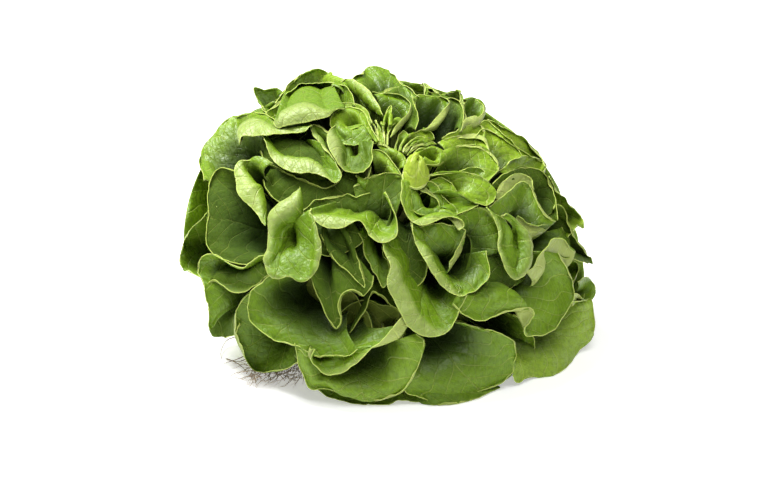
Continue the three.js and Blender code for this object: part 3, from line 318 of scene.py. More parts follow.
    ["hanging_dark", 0.98, 0.1, [-27, 6, 0.86], [[-40, 10], [-37, 1], [-33, -6], [-27, -10.5], [-21.5, -15],
     [-17.5, -20], [-12.5, -24], [-13, -16], [-16, -6], [-20, 4], [-25, 13]]],
    ["centre_olive", 0.93, 0.35, [-5, 4, 0.8], [[-16, 11], [-13, 4], [-11, -3], [-8, -10], [-5, -17],
     [-1, -24], [3, -20], [4, -12], [2, -2]]],
    ["deep_front", 0.86, 0.1, [-2, -20, 0.65], [[-22, -52], [-16, -42], [-12, -33], [-8, -25.5], [-3, -28],
     [3, -33.5], [8, -38], [12, -44], [12, -54]]],
    ["left_bright_lip", 1.01, 0.65, [-76, 36, 0.86], [[-70, 54], [-75, 58], [-80, 59], [-84, 57.3],
     [-88, 56.5, 2], [-92, 54.5, 5], [-94, 50, 8], [-93.3, 43, 11], [-92, 37, 13], [-89, 31.5, 13],
     [-84, 27, 10], [-80, 22.5, 6], [-77, 18.5, 3], [-74, 16]]],
    ["upper_bright_lip", 1.02, 0.5, [-52, 58, 0.82], [[-77, 73], [-75.5, 67, 1], [-73, 61, 3],
     [-69, 55.5, 6], [-63, 51.3, 9], [-56, 49, 10.5], [-49, 48.3, 10], [-42, 47, 6], [-37, 44.5, 3],
     [-33, 42, 1.5], [-30, 41.3, 1], [-27.5, 43], [-27, 47], [-30, 53], [-34, 60], [-39, 67]]],
    ["upper_fold", 1.00, 0.3, [-38, 60, 0.86], [[-34, 73], [-38, 76], [-42, 78], [-45, 78.7, -1],
     [-47, 77, 1], [-45, 72, 3], [-42, 68, 3], [-39, 64, 2], [-36, 60]]],
    ["upper_ledge", 1.03, 0.5, [-66, 84, 0.86], [[-90, 66], [-88.5, 70.5, 8], [-84, 71, 12],
     [-78, 70.7, 12], [-73, 70.5, 8], [-68, 71, 5], [-62, 72, 5], [-56, 73.5, 4], [-50, 74.3, 3],
     [-45, 77]]],
    ["upper_glossy", 1.05, 0.4, [-46, 98, 0.90], [[-68, 84], [-70, 80, 5], [-67, 76.3, 9], [-60, 78, 11],
     [-50, 80, 13], [-42, 81.7, 11], [-36, 83, 6], [-30, 87.5, 1], [-25, 89]]],
    ["upper_big", 0.99, 0.4, [-42, 84, 0.80], [[-19, 90], [-21, 95], [-25, 101], [-30, 104.3], [-36, 106],
     [-42, 105.2], [-48, 104.3], [-54, 103], [-59, 99], [-64, 96], [-70, 90.5], [-74, 86, 2], [-76, 80, 3],
     [-75, 72, 2]]],
    ["upper_pale", 0.99, 0.75, [-46, 92, 0.84], [[-19, 104], [-27, 107], [-35, 110], [-42, 113],
     [-49, 111.5], [-55, 107], [-60, 103], [-64, 98], [-69, 92]]],
    ["upper_flap", 0.97, None, [-68, 84, 0.82], [[-63, 97], [-68, 101], [-75, 100, 1], [-82, 101.3],
     [-80, 95], [-76, 88], [-72, 82]]],
    ["upper_lip", 1.00, None, [-12, 84, 0.84], [[-1, 84], [-3, 89, 2], [-6, 93, 3], [-9, 98, 4],
     [-14, 102, 4], [-20, 106, 3], [-27, 107.3, 1], [-34, 103]]],
    ["back_top", 1.00, None, [2, 88, 0.82], [[21, 95], [17, 99], [13, 103], [8, 107], [3, 111], [-2, 113.7],
     [-8, 115, 1], [-12.5, 113.5, 1], [-13.5, 110], [-17, 108.5], [-23, 106]]],
    ["back_dark", 0.98, 0.2, [8, 80, 0.85], [[19, 75], [20, 84], [19.3, 92], [17, 98], [13, 101],
     [8, 102.3], [3, 101], [-5, 98]]],
    ["back_pocket", 1.00, None, [6, 78, 0.88], [[4, 70], [6, 76, -2], [10, 81.5, -3], [14, 86, -3],
     [15, 90.5, -1], [12, 94], [6, 96.3], [0, 97], [-8, 98]]],
    ["back_face", 1.00, None, [26, 78, 0.86], [[24, 74], [29.5, 80, -5], [34, 85, -5], [38, 89, -3],
     [39.3, 92.5, -1], [37, 95.3], [33, 96.3], [28, 96.2], [22, 97.3], [17, 95.5]]],
    ["back_right_dark", 0.99, 0.25, [38, 78, 0.85], [[47, 74], [49, 80], [49.2, 85], [47, 90], [43, 93.7],
     [38, 96.3], [33, 98], [27, 98]]],
    ["back_tip", 0.97, None, [26, 90, 0.85], [[34, 97], [28, 100.5], [22, 104.7], [24.5, 101], [25, 95]]],
    ["back_flat_top", 0.98, None, [42, 84, 0.85], [[51, 80], [50.3, 88], [48.7, 93], [47.3, 99], [41, 99],
     [35, 97]]],
    ["back_right_roll", 1.00, None, [52, 80, 0.9], [[48, 74], [48, 78.5, -3], [50, 81.8, -5],
     [54, 83.3, -6], [59, 84, -6], [61.5, 86.3, -3], [61.5, 89.5], [58, 92.3], [52, 95.2], [48, 93]]],
    # Small leaves of the heart
    ["crown_left_pocket", 1.00, 0.3, [-18, 74, 0.9], [[-5, 67], [-7.5, 74], [-10, 80, 0.5],
     [-13, 84.7, 0.5], [-18, 87.7, 0.5], [-23, 89, 0.5], [-28, 88], [-32, 85], [-34, 81], [-33, 77],
     [-30, 75], [-25, 75], [-20, 76], [-14, 77.5], [-9, 77]]],
    ["crown_left_arch", 0.99, None, [-20, 76, 0.88], [[-8, 79], [-10.5, 85.5, 1], [-15, 90, 1.5],
     [-20, 91.7, 2], [-26, 92, 2], [-31, 90.7, 1], [-36, 88], [-40, 84]]],
    ["left_cup", 1.02, 0.25, [-19, 60, 0.93], [[-31, 78], [-34.5, 75, 3], [-36, 70.5, 7], [-35.5, 65, 8],
     [-33, 59, 7], [-29, 53, 4], [-25, 49.7, 1.5], [-19, 47.3, 1.5], [-13, 48.5, 1.5], [-9.5, 52, 1],
     [-8, 57, 1], [-9, 63], [-8, 68]]],
    # The dark tints of the recess and hollow leaves below are painted shade
    ["left_recess", 0.94, 0.05, [-50, 68, 0.88], [[-78, 62], [-74, 54], [-66, 49], [-56, 45], [-46, 41],
     [-36, 38], [-29, 42], [-27, 52]]],
    ["left_recess_low", 0.91, 0.0, [-40, 48, 0.85], [[-76, 44], [-72, 34], [-62, 28], [-50, 24], [-38, 24],
     [-26, 27], [-14, 31], [-7, 40]]],
    ["left_hollow", 0.92, 0.1, [-34, 18, 0.86], [[-52, 10], [-48, 2], [-40, -2], [-30, -3], [-20, 0],
     [-12, 6]]],
    ["centre_hollow", 0.92, 0.1, [14, 20, 0.85], [[-2, 6], [0, -4], [6, -14], [14, -22], [22, -20],
     [26, -8], [24, 6]]],
    ["right_hollow", 0.92, 0.15, [62, 6, 0.86], [[90, -8], [87, -18], [78, -24], [68, -26], [58, -22],
     [50, -14]]],
    ["right_recess", 0.95, 0.25, [92, 2, 0.88], [[110, 14], [115, 6], [114, -2], [106, -6], [96, -6]]],
    ["cup_lens", 0.99, None, [-20, 73, 0.94], [[-31, 71], [-28.5, 67.5], [-25, 65, 0.5], [-20, 64.5, 0.5],
     [-14, 65, 0.5], [-8, 68.5]]],
    ["under_cup", 0.98, None, [-12, 36, 0.9], [[-18, 47], [-14, 44.3], [-11, 44.5], [-9.5, 47], [-9, 52]]],
    ["crown_wedge", 0.97, None, [6, 52, 0.88], [[13, 50], [13.6, 55], [12, 58.5], [8, 61.3], [4, 63.7],
     [0, 66.3, 0.5], [-5, 66]]],
    ["crown_face", 0.98, 0.4, [0, 46, 0.88], [[12, 45.5], [8, 49.5], [5, 53.3], [2, 57.3], [-1, 60.7],
     [-5, 62.7], [-10, 63]]],
    ["crown_spoon", 1.02, 1.0, [19.5, 56, 1.05], [[16, 57.5], [13, 53], [11, 48.5], [11, 44.5],
     [13.3, 41, -1], [17, 38.7, -1], [22.5, 38.8, -1], [26, 42, -1], [28, 46.5], [26.5, 51], [22.5, 54.8],
     [19, 57.3]]],
    ["crown_cup", 0.98, 0.5, [27, 56, 0.92], [[22, 54.3], [27, 53.1, -1], [33, 53.2, -2], [37, 55, -2],
     [36.3, 58.5], [33, 62], [28, 63.2], [23, 62.5], [19, 60.5], [15, 57]]],
    ["crown_arc_1", 0.95, None, [8, 60, 0.86], [[15.5, 71.5], [13, 74, 0.5], [11, 74.7, 0.5], [8.5, 72],
     [7, 67.5], [6.3, 62]]],
    ["crown_arc_2", 0.95, None, [14, 62, 0.86], [[30.5, 69], [29.5, 71.3], [27, 73.5], [23, 75, 0.5],
     [18, 74], [13, 70.7], [10, 66.5], [8.8, 61]]],
    ["crown_arc_3", 0.945, None, [16, 61, 0.86], [[28.5, 70], [22, 70.7], [17, 69], [13, 65], [10.8, 61]]],
    ["crown_arc_4", 0.94, None, [17, 60, 0.86], [[32.5, 66], [29, 68.3], [24, 68.7], [19, 67.4], [15, 64],
     [12.3, 60]]],
    ["crown_arc_5", 0.935, None, [18, 59, 0.86], [[31, 65.6], [26, 66.6], [21, 65.6], [17, 63],
     [13.8, 59]]],
    ["crown_line_1", 0.955, None, [-3, 66, 0.86], [[-2.7, 66], [-4, 70], [-5.7, 75], [-8, 80]]],
    ["crown_line_2", 0.95, None, [-1, 66, 0.86], [[-1.7, 66], [-2.6, 71], [-4, 76], [-6.3, 81]]],
    ["crown_line_3", 0.95, None, [0, 66, 0.86], [[0, 66], [-0.8, 72], [-1.3, 77], [-2.7, 80]]],
    ["crown_point", 0.98, None, [1, 74, 0.9], [[4.2, 77], [4.4, 84], [3.8, 90.3], [1.3, 87], [-0.8, 82.5],
     [-1.8, 77]]],
    ["crown_tall", 0.96, None, [4, 70, 0.88], [[12, 80], [9, 82.7], [5, 80.7], [2.2, 76.5], [1, 70],
     [1, 65]]],
]


def unit(rows):
    """Rows of vectors, each at length one."""
    lengths = np.linalg.norm(rows, axis=-1, keepdims=True)
    return rows / np.maximum(lengths, 1e-12)


def to_sphere(rows):
    """Vectors with their part along the axis stretched, so that the dome becomes a sphere."""
    along = (rows @ AXIS)[..., None]
    return rows + along * AXIS * (RADIUS_ACROSS / RADIUS_ALONG - 1)


def cast(x, y, share):
    """The points of the dome, scaled by share, that the eye sees at x, y of the picture plane."""
    x = np.asarray(x, float)[..., None] * MM
    y = np.asarray(y, float)[..., None] * MM
    rays = unit(CENTRE + PICTURE_RIGHT * x + PICTURE_UP * y - EYE)
    start = to_sphere(EYE - CENTRE)
    along = to_sphere(rays)
    a = (along * along).sum(-1)
    b = (along * start).sum(-1)
    c = start @ start - (RADIUS_ACROSS * np.asarray(share)) ** 2
    reach = np.sqrt(np.maximum(0, b * b - a * c))
    distance = (-b - reach) / a
    to_floor = (FLOOR_CLEARANCE - EYE[2]) / rays[..., 2]
    below = EYE[2] + distance * rays[..., 2] < FLOOR_CLEARANCE
    distance = np.where(below, to_floor, distance)
    return EYE + rays * distance[..., None]


def on_dome(polar, turn, share):
    """The point of the dome at a polar angle from the crown and an angle round the axis, in degrees."""
    p = math.radians(polar)
    t = math.radians(turn)
    point = CENTRE + AXIS * (math.cos(p) * RADIUS_ALONG * share)
    across = math.sin(p) * RADIUS_ACROSS * share
    point = point + (SIDE_A * math.cos(t) + SIDE_B * math.sin(t)) * across
    point[2] = max(point[2], FLOOR_CLEARANCE)
    return point


def smooth_row(points, columns, count=None, step=None):
    """A smooth row through points, evenly spaced as its first columns measure, by a count or a step."""
    points = np.asarray(points, float)
    gaps = np.linalg.norm(np.diff(points, axis=0), axis=1)
    knots = np.concatenate([[0], np.cumsum(np.sqrt(np.maximum(gaps, 1e-9)))])
    slopes = np.gradient(points, knots, axis=0)
    dense = []
    fine = np.linspace(0, 1, STEPS_BETWEEN_POINTS, endpoint=False)[:, None]
    for i in range(len(points) - 1):
        h = knots[i + 1] - knots[i]
        a = 2 * fine ** 3 - 3 * fine ** 2 + 1
        b = fine ** 3 - 2 * fine ** 2 + fine
        c = -2 * fine ** 3 + 3 * fine ** 2
        d = fine ** 3 - fine ** 2
        dense.append(a * points[i] + b * h * slopes[i] + c * points[i + 1] + d * h * slopes[i + 1])
    dense.append(points[-1:])
    dense = np.concatenate(dense)
    lengths = np.linalg.norm(np.diff(dense[:, :columns], axis=0), axis=1)
    along = np.concatenate([[0], np.cumsum(lengths)])
    if count is None:
        count = int(max(FEWEST_COLUMNS, min(MOST_COLUMNS, along[-1] / step)))
    places = np.linspace(0, along[-1], count)
    return np.stack([np.interp(places, along, dense[:, k]) for k in range(points.shape[1])], axis=1)


class Noise:
    """Smooth noise over a plane, the same on every run."""

    SIZE = 64

    def __init__(self, seed):
        self.grid = np.random.default_rng(seed).uniform(-1, 1, (self.SIZE, self.SIZE))

    def __call__(self, x, y):
        x0 = np.floor(x).astype(int)
        y0 = np.floor(y).astype(int)
        fx = x - x0
        fy = y - y0
        fx = fx * fx * (3 - 2 * fx)
        fy = fy * fy * (3 - 2 * fy)
        g = self.grid
        n = self.SIZE
        low = g[x0 % n, y0 % n] * (1 - fx) + g[(x0 + 1) % n, y0 % n] * fx
        high = g[x0 % n, (y0 + 1) % n] * (1 - fx) + g[(x0 + 1) % n, (y0 + 1) % n] * fx
        return low * (1 - fy) + high * fy


def blurred(rows, times):
    """Rows of values smoothed along their first axis, with their ends kept."""
    rows = rows.copy()
    for _ in range(times):
        rows[1:-1] = (rows[:-2] + 2 * rows[1:-1] + rows[2:]) / 4
    return rows


def drawn_rows(rolled, share, heel, outline, noise):
    """The edge, the crest and the heel of a drawn leaf, and the width of its fold along the rim."""
    full = np.array([(p + [0])[:3] for p in outline], float)
    row = smooth_row(full, 2, step=STEP_ALONG_RIM / MM)
    direction = blurred(np.gradient(row[:, :2], axis=0), RIM_PASSES)
    side = unit(np.stack([-direction[:, 1], direction[:, 0]], axis=1))
    to_heel = np.array(heel[:2]) - row[:, :2]
    if (side * to_heel).sum() < 0:
        side = -side
    s = np.arange(len(row)) * STEP_ALONG_RIM / MM
    wave = sum(noise(s / length, s * 0 + place) * height for length, place, height in RIM_WAVES)
    fade = np.minimum(1, np.minimum(s, s[-1] - s) / RIM_FADE)
    edge_xy = row[:, :2] + side * (wave * fade)[:, None]
    fold = row[:, 2]
    edge = cast(edge_xy[:, 0], edge_xy[:, 1], share)
    fold_xy = row[:, :2] + side * blurred(fold[:, None], FOLD_PASSES)
    some = np.clip(np.abs(fold) / FULL_LIFT, 0, 1)
    lift = ROUND_FOLD[0] if rolled else FLAT_FOLD[0]
    crest = cast(fold_xy[:, 0], fold_xy[:, 1], share - CREST_DROP + lift * some)
    crest = blurred(crest, CREST_PASSES)
    return edge, crest, cast(heel[0], heel[1], heel[2]), fold * MM


def random_from(seed):
    """A stream of numbers from 0 to 1, the same as the solid model's."""
    state = seed
    while True:
        state = (state * DRAW_FACTOR + DRAW_STEP) % DRAW_COUNT
        yield state / DRAW_COUNT


def ring_places(rings, phases, sway, draws):
    """Each place of some rings in turn: angle from the crown, number, share, angle round the axis."""
    for polar, count, share in rings:
        for i in range(count):
            turn = 360 * (i + (polar % phases) / phases) / count + (next(draws) - 0.5) * sway
            yield polar, i, share, turn


def hidden_rows(polar, turn, share, draws):
    """The edge, the crest and the heel of a leaf by rule, which has no fold."""
    edges = []
    lean = (next(draws) - 0.5) * HIDDEN_LEAN
    for i in range(HIDDEN_POINTS):
        side = 2 * i / (HIDDEN_POINTS - 1) - 1
        drop = 1 - math.sqrt(max(0, 1 - side * side * HIDDEN_ROUNDING))
        wave = (next(draws) - 0.5) * HIDDEN_WAVE
        width = HIDDEN_HALF_WIDTH / max(NARROWEST_RING, math.sin(math.radians(polar)))
        edges.append(on_dome(
            polar - HIDDEN_HEIGHT / 2 + drop * HIDDEN_HEIGHT + wave,
            turn + lean * side + math.sin(side * math.pi / 2) * width,
            share,
        ))
    edges = np.array(edges)
    length = np.linalg.norm(np.diff(edges, axis=0), axis=1).sum()
    edge = smooth_row(edges, 3, count=int(length / STEP_ALONG_RIM / HIDDEN_COARSENESS))
    crest = edge + (CENTRE - edge) * HIDDEN_CREST_IN
    heel_share = LOWEST_HEEL if polar > LOWEST_RING else HIGHER_HEEL
    heel = on_dome(min(DEEPEST_HEEL, polar + HIDDEN_HEIGHT * HEEL_FALL), turn, share * heel_share)
    return edge, crest, heel, np.zeros(len(edge))


def leaf_grid(edge, crest, heel, fold, rounding, spread):
    """Rows of points from the stem over the crest to the edge, and each row's place in the blade."""
    middle = crest.mean(axis=0)
    outward = middle - CENTRE
    polar = math.acos(np.clip(unit(outward) @ AXIS, -1, 1)) / math.pi
    level = BASE_HIGH + (BASE_LOW - BASE_HIGH) * min(1, polar * BASE_DROP)
    base = CENTRE + AXIS * level
    base = base + unit(heel - base) * BASE_REACH
    across = unit(edge[-1] - edge[0])
    share = np.linspace(-0.5, 0.5, len(edge))[:, None]
    roots = base + across * share * BASE_WIDTH
    heels = heel + (crest - middle) * spread
    folded = blurred(np.clip(np.abs(fold) / WIDE_FOLD, 0, 1)[:, None], RIM_PASSES)
    rows = []
    places = []
    h = HEEL_PLACE
    for i in range(ROWS_IN_BLADE):
        v = (i / (ROWS_IN_BLADE - 1)) ** BLADE_CROWDING
        a = (v - h) * (v - 1) / h
        b = v * (v - 1) / (h * (h - 1))
        c = v * (v - h) / (1 - h)
        row = a * roots + b * heels + c * crest
        hollow = math.sin(math.pi * min(1, (1 - v) / (1 - h)) ** SCOOP_SHAPE)
        rows.append(row + unit(CENTRE - row) * (SCOOP + FOLD_SCOOP * folded) * hollow)
        places.append(v)
    slope = unit(rows[-1] - rows[-2])
    width = np.linalg.norm(edge - crest, axis=1, keepdims=True)
    rise = np.where(fold[:, None] != 0, width * rounding, 0)
    for i in range(1, ROWS_IN_LIP + 1):
        w = 1 - (1 - i / ROWS_IN_LIP) ** LIP_CROWDING
        rows.append(crest + (edge - crest) * w + slope * rise * math.sin(math.pi * w) * (1 - w * LIP_FALL))
        places.append(1 + w)
    grid = np.array(rows)
    places = np.array(places)
    at_crest = np.exp(-((places - 1) / BEND_WIDTH) ** 2)[:, None, None]
    grid = grid + (blurred(grid, BEND_PASSES) - grid) * at_crest
    grid[..., 2] = np.maximum(grid[..., 2], FLOOR_CLEARANCE)
    return grid, places


def grid_normals(grid):
    """The normal of a grid of points at each of them."""
    down = np.gradient(grid, axis=0)
    along = np.gradient(grid, axis=1)
    return unit(np.cross(along, down))


def vein_places(grid, noise):
    """Where each point lies beside the midrib, and between the side and the fine veins, and its place."""
    count = grid.shape[1]
    u = np.linspace(-1, 1, count)[None, :] * np.ones((len(grid), 1))
    lengths = np.linalg.norm(np.diff(grid, axis=0), axis=2).mean(axis=1)
    t = np.concatenate([[0], np.cumsum(lengths)])[:, None] * np.ones((1, count))
    half = np.linalg.norm(np.diff(grid, axis=1), axis=2).sum(axis=1)[:, None] / 2
    s = u * half
    bend = noise(s / BEND_LENGTH + BEND_PHASE, t / BEND_LENGTH) * BEND_SIZE * MM
    rib = np.abs(s + bend) / (RIB_WIDTH * (RIB_TAPER - t / t.max()))
    side = (t - SIDE_VEIN_SLANT * np.abs(s) + SIDE_VEIN_BEND * bend) / SIDE_VEIN_SPACING
    net = (t + FINE_VEIN_SLANT * np.abs(s) + FINE_VEIN_BEND * bend) / FINE_VEIN_SPACING
    return rib, side, net, s, t


def relief(noise, rib, side, net, s, t, places):
    """How far each point of a blade stands out: swellings, quilts between the veins and a waved edge."""
    puff = sum(
        noise(s / (length * MM) + right, t / (length * MM) + up) * height * MM
        for length, right, up, height in SWELLINGS
    )
    near_edge = np.exp(-((places.max() - places) / NEAR_EDGE) ** 2)[:, None]
    ruffle = sum(noise(s / (length * MM), t * 0 + place) * height for length, place, height in RUFFLES)
    ruffle = ruffle * MM * near_edge
    quilt = (1 - np.cos(2 * math.pi * side)) * QUILTING / SIDE_QUILTING
    quilt = quilt + (1 - np.cos(2 * math.pi * net)) * QUILTING / FINE_QUILTING
    rise = np.clip(places / RELIEF_FULL_AT, 0, 1)[:, None]
    return (puff * (1 - EDGE_CALM * near_edge) + ruffle + quilt - QUILTING * np.exp(-rib ** 2)) * rise


def leaf_mesh(name, grid, places, values):
    """A closed blade round a grid of points, with its values as attributes of the mesh."""
    rows, count = grid.shape[:2]
    closeness = np.clip(places - 1, 0, 1)[:, None, None]
    half = (BLADE_THICKNESS * (1 - closeness) + EDGE_THICKNESS * closeness) / 2
    shift = grid_normals(grid) * half
    points = np.concatenate([(grid + shift).reshape(-1, 3), (grid - shift).reshape(-1, 3)])
    total = rows * count
    i = np.arange(rows - 1)[:, None] * count + np.arange(count - 1)[None, :]
    quads = np.stack([i, i + 1, i + count + 1, i + count], axis=-1).reshape(-1, 4)
    first = np.arange(count - 1)
    last = first + (rows - 1) * count
    left = np.arange(rows - 1) * count
    right = left + count - 1
    faces = np.concatenate([
        quads,
        quads[:, ::-1] + total,
        np.stack([first + 1, first, first + total, first + 1 + total], axis=1),
        np.stack([last, last + 1, last + 1 + total, last + total], axis=1),
        np.stack([left, left + count, left + count + total, left + total], axis=1),
        np.stack([right + count, right, right + total, right + count + total], axis=1),
    ])
    mesh = bpy.data.meshes.new(name)
    mesh.vertices.add(len(points))
    mesh.vertices.foreach_set("co", points.ravel())
    mesh.loops.add(len(faces) * 4)
    mesh.loops.foreach_set("vertex_index", faces.ravel())
    mesh.polygons.add(len(faces))
    mesh.polygons.foreach_set("loop_start", np.arange(len(faces)) * 4)
    mesh.polygons.foreach_set("loop_total", np.full(len(faces), 4))
    mesh.polygons.foreach_set("use_smooth", np.ones(len(faces), bool))
    mesh.update(calc_edges=True)
    values = {key: np.concatenate([value.ravel(), value.ravel()]) for key, value in values.items()}
    values["upper"] = np.concatenate([np.ones(total), np.zeros(total)])
    for key, value in values.items():
        attribute = mesh.attributes.new(key, "FLOAT", "POINT")
        attribute.data.foreach_set("value", value.astype(np.float32))
    return mesh


def link_piece(name, data, material):
    """A new piece of the scene, with one material."""
    data.materials.append(material)
    piece = bpy.data.objects.new(name, data)
    bpy.context.scene.collection.objects.link(piece)
    return piece


def make_leaf(name, rows, number, material, node, tint=None):
    """One leaf from its edge, crest, heel and fold widths."""
    edge, crest, heel, fold = rows
    noise = Noise(BLADE_SEED + number)
    plain_name = name.removeprefix("fine_")
    rounding = ROUND_FOLD[1] if plain_name in ROLLED else FLAT_FOLD[1]
    spread = BOWL_SPREADS.get(plain_name, HEEL_SPREAD)
    grid, places = leaf_grid(edge, crest, heel, fold, rounding, spread)
    if (grid_normals(grid)[ROWS_IN_BLADE // 2] @ AXIS).mean() < 0:
        grid = grid[:, ::-1]
        fold = fold[::-1]
    rib, side, net, s, t = vein_places(grid, noise)
    grid = grid + grid_normals(grid) * relief(noise, rib, side, net, s, t, places)[..., None]
    grid[..., 2] = np.maximum(grid[..., 2], FLOOR_CLEARANCE)
    distance = np.linalg.norm(grid - grid[-1][None], axis=2)
    past_crest = np.clip(places - 1, 0, 1)[:, None]
    # Painted shade darkens the blade towards the stem, and a heel near the dome's surface lightens it
    heel_share = np.linalg.norm(to_sphere(heel - CENTRE)) / RADIUS_ACROSS
    shallow = max(0, heel_share - DEEP_HEEL) * SHALLOW_LIGHTENING
    if tint is None:
        tint = np.random.default_rng(TINT_SEED + number).uniform(*USUAL_TINTS)
    values = {
        "rib": rib,
        "side": side,
        "net": net,
        "rim": np.exp(-(distance / RIM_WIDTH) ** 2),
        # the lip's mask, for its painted highlight
        "lip": np.clip(past_crest * np.abs(fold)[None, :] / FULL_LIP, 0, 1),
        # painted shade, darker towards the stem
        "depth": np.clip(places + shallow, 0, 1)[:, None] * np.ones_like(s),
        "tint": np.full_like(s, tint),
    }
    piece = link_piece(name, leaf_mesh(name, grid, places, values), material)
    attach(piece, "root")
    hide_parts(node)


# Colours of the leaves, with red, green and blue as the light they throw back
LEAF_GREEN = (0.108, 0.205, 0.004, 1)
LEAF_LIGHT = (0.27, 0.41, 0.022, 1)
LEAF_DARK = (0.023, 0.047, 0.006, 1)
# Painted shade: the dark green of blades towards the stem, which is also the darkest colour of the deep
# leaves
PAINTED_RECESS_SHADE = (0.026, 0.048, 0.009, 1)
# Painted highlight laid on the turned-over lip
LIP_PAINTED_HIGHLIGHT = (0.54, 0.57, 0.23, 1)
RIM_PALE = (0.52, 0.62, 0.14, 1)
VEIN_PALE = (0.45, 0.52, 0.12, 1)
UNDER_OLIVE = (0.15, 0.20, 0.03, 1)
UNDER_PALE = (0.42, 0.50, 0.14, 1)
HEART_LIGHT = (0.32, 0.43, 0.035, 1)
HEART_GREEN = (0.17, 0.28, 0.010, 1)

# How strongly the leaf's patterns show. Scales are those of the noise, for each metre. The lines of the
# side and the fine veins are [attribute, width, strength].
NOISE_DETAIL = 4
PATCH_SCALE = 45
PATCH_STRENGTH = 0.22
SPECKLE_SCALE = 420
SPECKLE_RANGE = (0.42, 0.68)
SPECKLE_STRENGTH = 0.26
VEIN_LINES = [("side", 0.06, 0.75), ("net", 0.07, 0.4)]
VEIN_FADING_SCALE = 70
VEIN_FADING = (0.2, 0.5)
VEIN_STRENGTHS = (0.2, 0.62)
UNDER_VEIN_STRENGTH = 0.6
# Where the painted shade gives way to the blade as the depth attribute rises
SHADE_RANGE = (0.46, 0.96)
# How strongly the painted highlight on the lip shows
LIP_HIGHLIGHT_STRENGTH = 0.28
RIM_STRENGTH = 0.7
MIDDLE_TINT = 0.5

# The leaf's surface. Pairs go from the darkest leaf to one of middle tint.
ROUGHNESSES = (0.62, 0.39)
SHEENS = (0.03, 0.27)
LIGHT_INSIDE = 0.2
LIGHT_REACH = (0.6, 1.0, 0.15)
LIGHT_REACH_SCALE = 1.2 * MM
GRAIN_SCALE = 380
GRAIN_HEIGHT = 0.6
VEIN_GROOVE = 0.4
LEAF_BUMP = (0.8, 1.7 * MM)
PLAIN_BUMP = (0.4, 0.4 * MM)
PLAIN_GRAIN = 8


def new_material(name):
    """A node material's tree and its shader."""
    material = bpy.data.materials.new(name)
    material.use_nodes = True
    return material, material.node_tree, material.node_tree.nodes["Principled BSDF"]


def fill_socket(tree, socket, value):
    """Sets an input to a number or a colour, or links another socket to it."""
    if isinstance(value, bpy.types.NodeSocket):
        tree.links.new(value, socket)
    else:
        socket.default_value = value


def mix_node(tree, factor, first, second):
    """A colour mix; each input is a socket or a colour. The node takes colours at inputs 6 and 7."""
    node = tree.nodes.new("ShaderNodeMix")
    node.data_type = "RGBA"
    fill_socket(tree, node.inputs[0], factor)
    fill_socket(tree, node.inputs[6], first)
    fill_socket(tree, node.inputs[7], second)
    return node.outputs[2]


def number_node(tree, operation, first, second):
    """A sum, product or the like of two sockets or numbers, kept from nought to one."""
    node = tree.nodes.new("ShaderNodeMath")
    node.operation = operation
    node.use_clamp = True
    fill_socket(tree, node.inputs[0], first)
    fill_socket(tree, node.inputs[1], second)
    return node.outputs[0]


def range_node(tree, value, start, end, low=0, high=1, curve="SMOOTHSTEP"):
    """A number that goes from low to high while a socket goes from start to end."""
    node = tree.nodes.new("ShaderNodeMapRange")
    node.interpolation_type = curve
    node.inputs["From Min"].default_value = start
    node.inputs["From Max"].default_value = end
    node.inputs["To Min"].default_value = low
    node.inputs["To Max"].default_value = high
    tree.links.new(value, node.inputs["Value"])
    return node.outputs["Result"]


def blend_node(tree, factor, first, second):
    """A number that goes evenly from first to second with a socket from nought to one."""
    return range_node(tree, factor, 0, 1, first, second, "LINEAR")


def scaled_node(tree, value, strength):
    """A socket times a number or another socket."""
    return number_node(tree, "MULTIPLY", value, strength)


def layer_node(tree, below, colour, value, strength):
    """A colour laid over the one below, as much as a socket times a strength says."""
    return mix_node(tree, scaled_node(tree, value, strength), below, colour)


def attribute_node(tree, name):
    """The value of a mesh attribute."""
    node = tree.nodes.new("ShaderNodeAttribute")
    node.attribute_name = name
    return node.outputs["Fac"]


def noise_node(tree, scale):
    """Noise in the object's own space."""
    place = tree.nodes.new("ShaderNodeTexCoord")
    node = tree.nodes.new("ShaderNodeTexNoise")
    node.inputs["Scale"].default_value = scale
    node.inputs["Detail"].default_value = NOISE_DETAIL
    tree.links.new(place.outputs["Object"], node.inputs["Vector"])
    return node.outputs["Fac"]


def line_node(tree, value, width):
    """One on the line where a socket is nought, falling to nought at a width on either side."""
    return range_node(tree, value, 0, width, 1, 0)


def nearest_line(tree, name):
    """How far the phase held in an attribute is from a whole number."""
    node = tree.nodes.new("ShaderNodeMath")
    node.operation = "PINGPONG"
    node.inputs[1].default_value = 0.5
    tree.links.new(attribute_node(tree, name), node.inputs[0])
    return node.outputs[0]


def add_bump(tree, shader, height, strength, distance):
    """Small relief on a shader from a socket's height."""
    bump = tree.nodes.new("ShaderNodeBump")
    bump.inputs["Strength"].default_value = strength
    bump.inputs["Distance"].default_value = distance
    tree.links.new(height, bump.inputs["Height"])
    tree.links.new(bump.outputs["Normal"], shader.inputs["Normal"])


def vein_node(tree):
    """How strongly a vein shows, from the midrib and the side and fine veins, with faint stretches."""
    vein = line_node(tree, attribute_node(tree, "rib"), 1)
    for name, width, strength in VEIN_LINES:
        line = scaled_node(tree, line_node(tree, nearest_line(tree, name), width), strength)
        vein = number_node(tree, "MAXIMUM", vein, line)
    return scaled_node(tree, vein, range_node(tree, noise_node(tree, VEIN_FADING_SCALE), *VEIN_FADING))


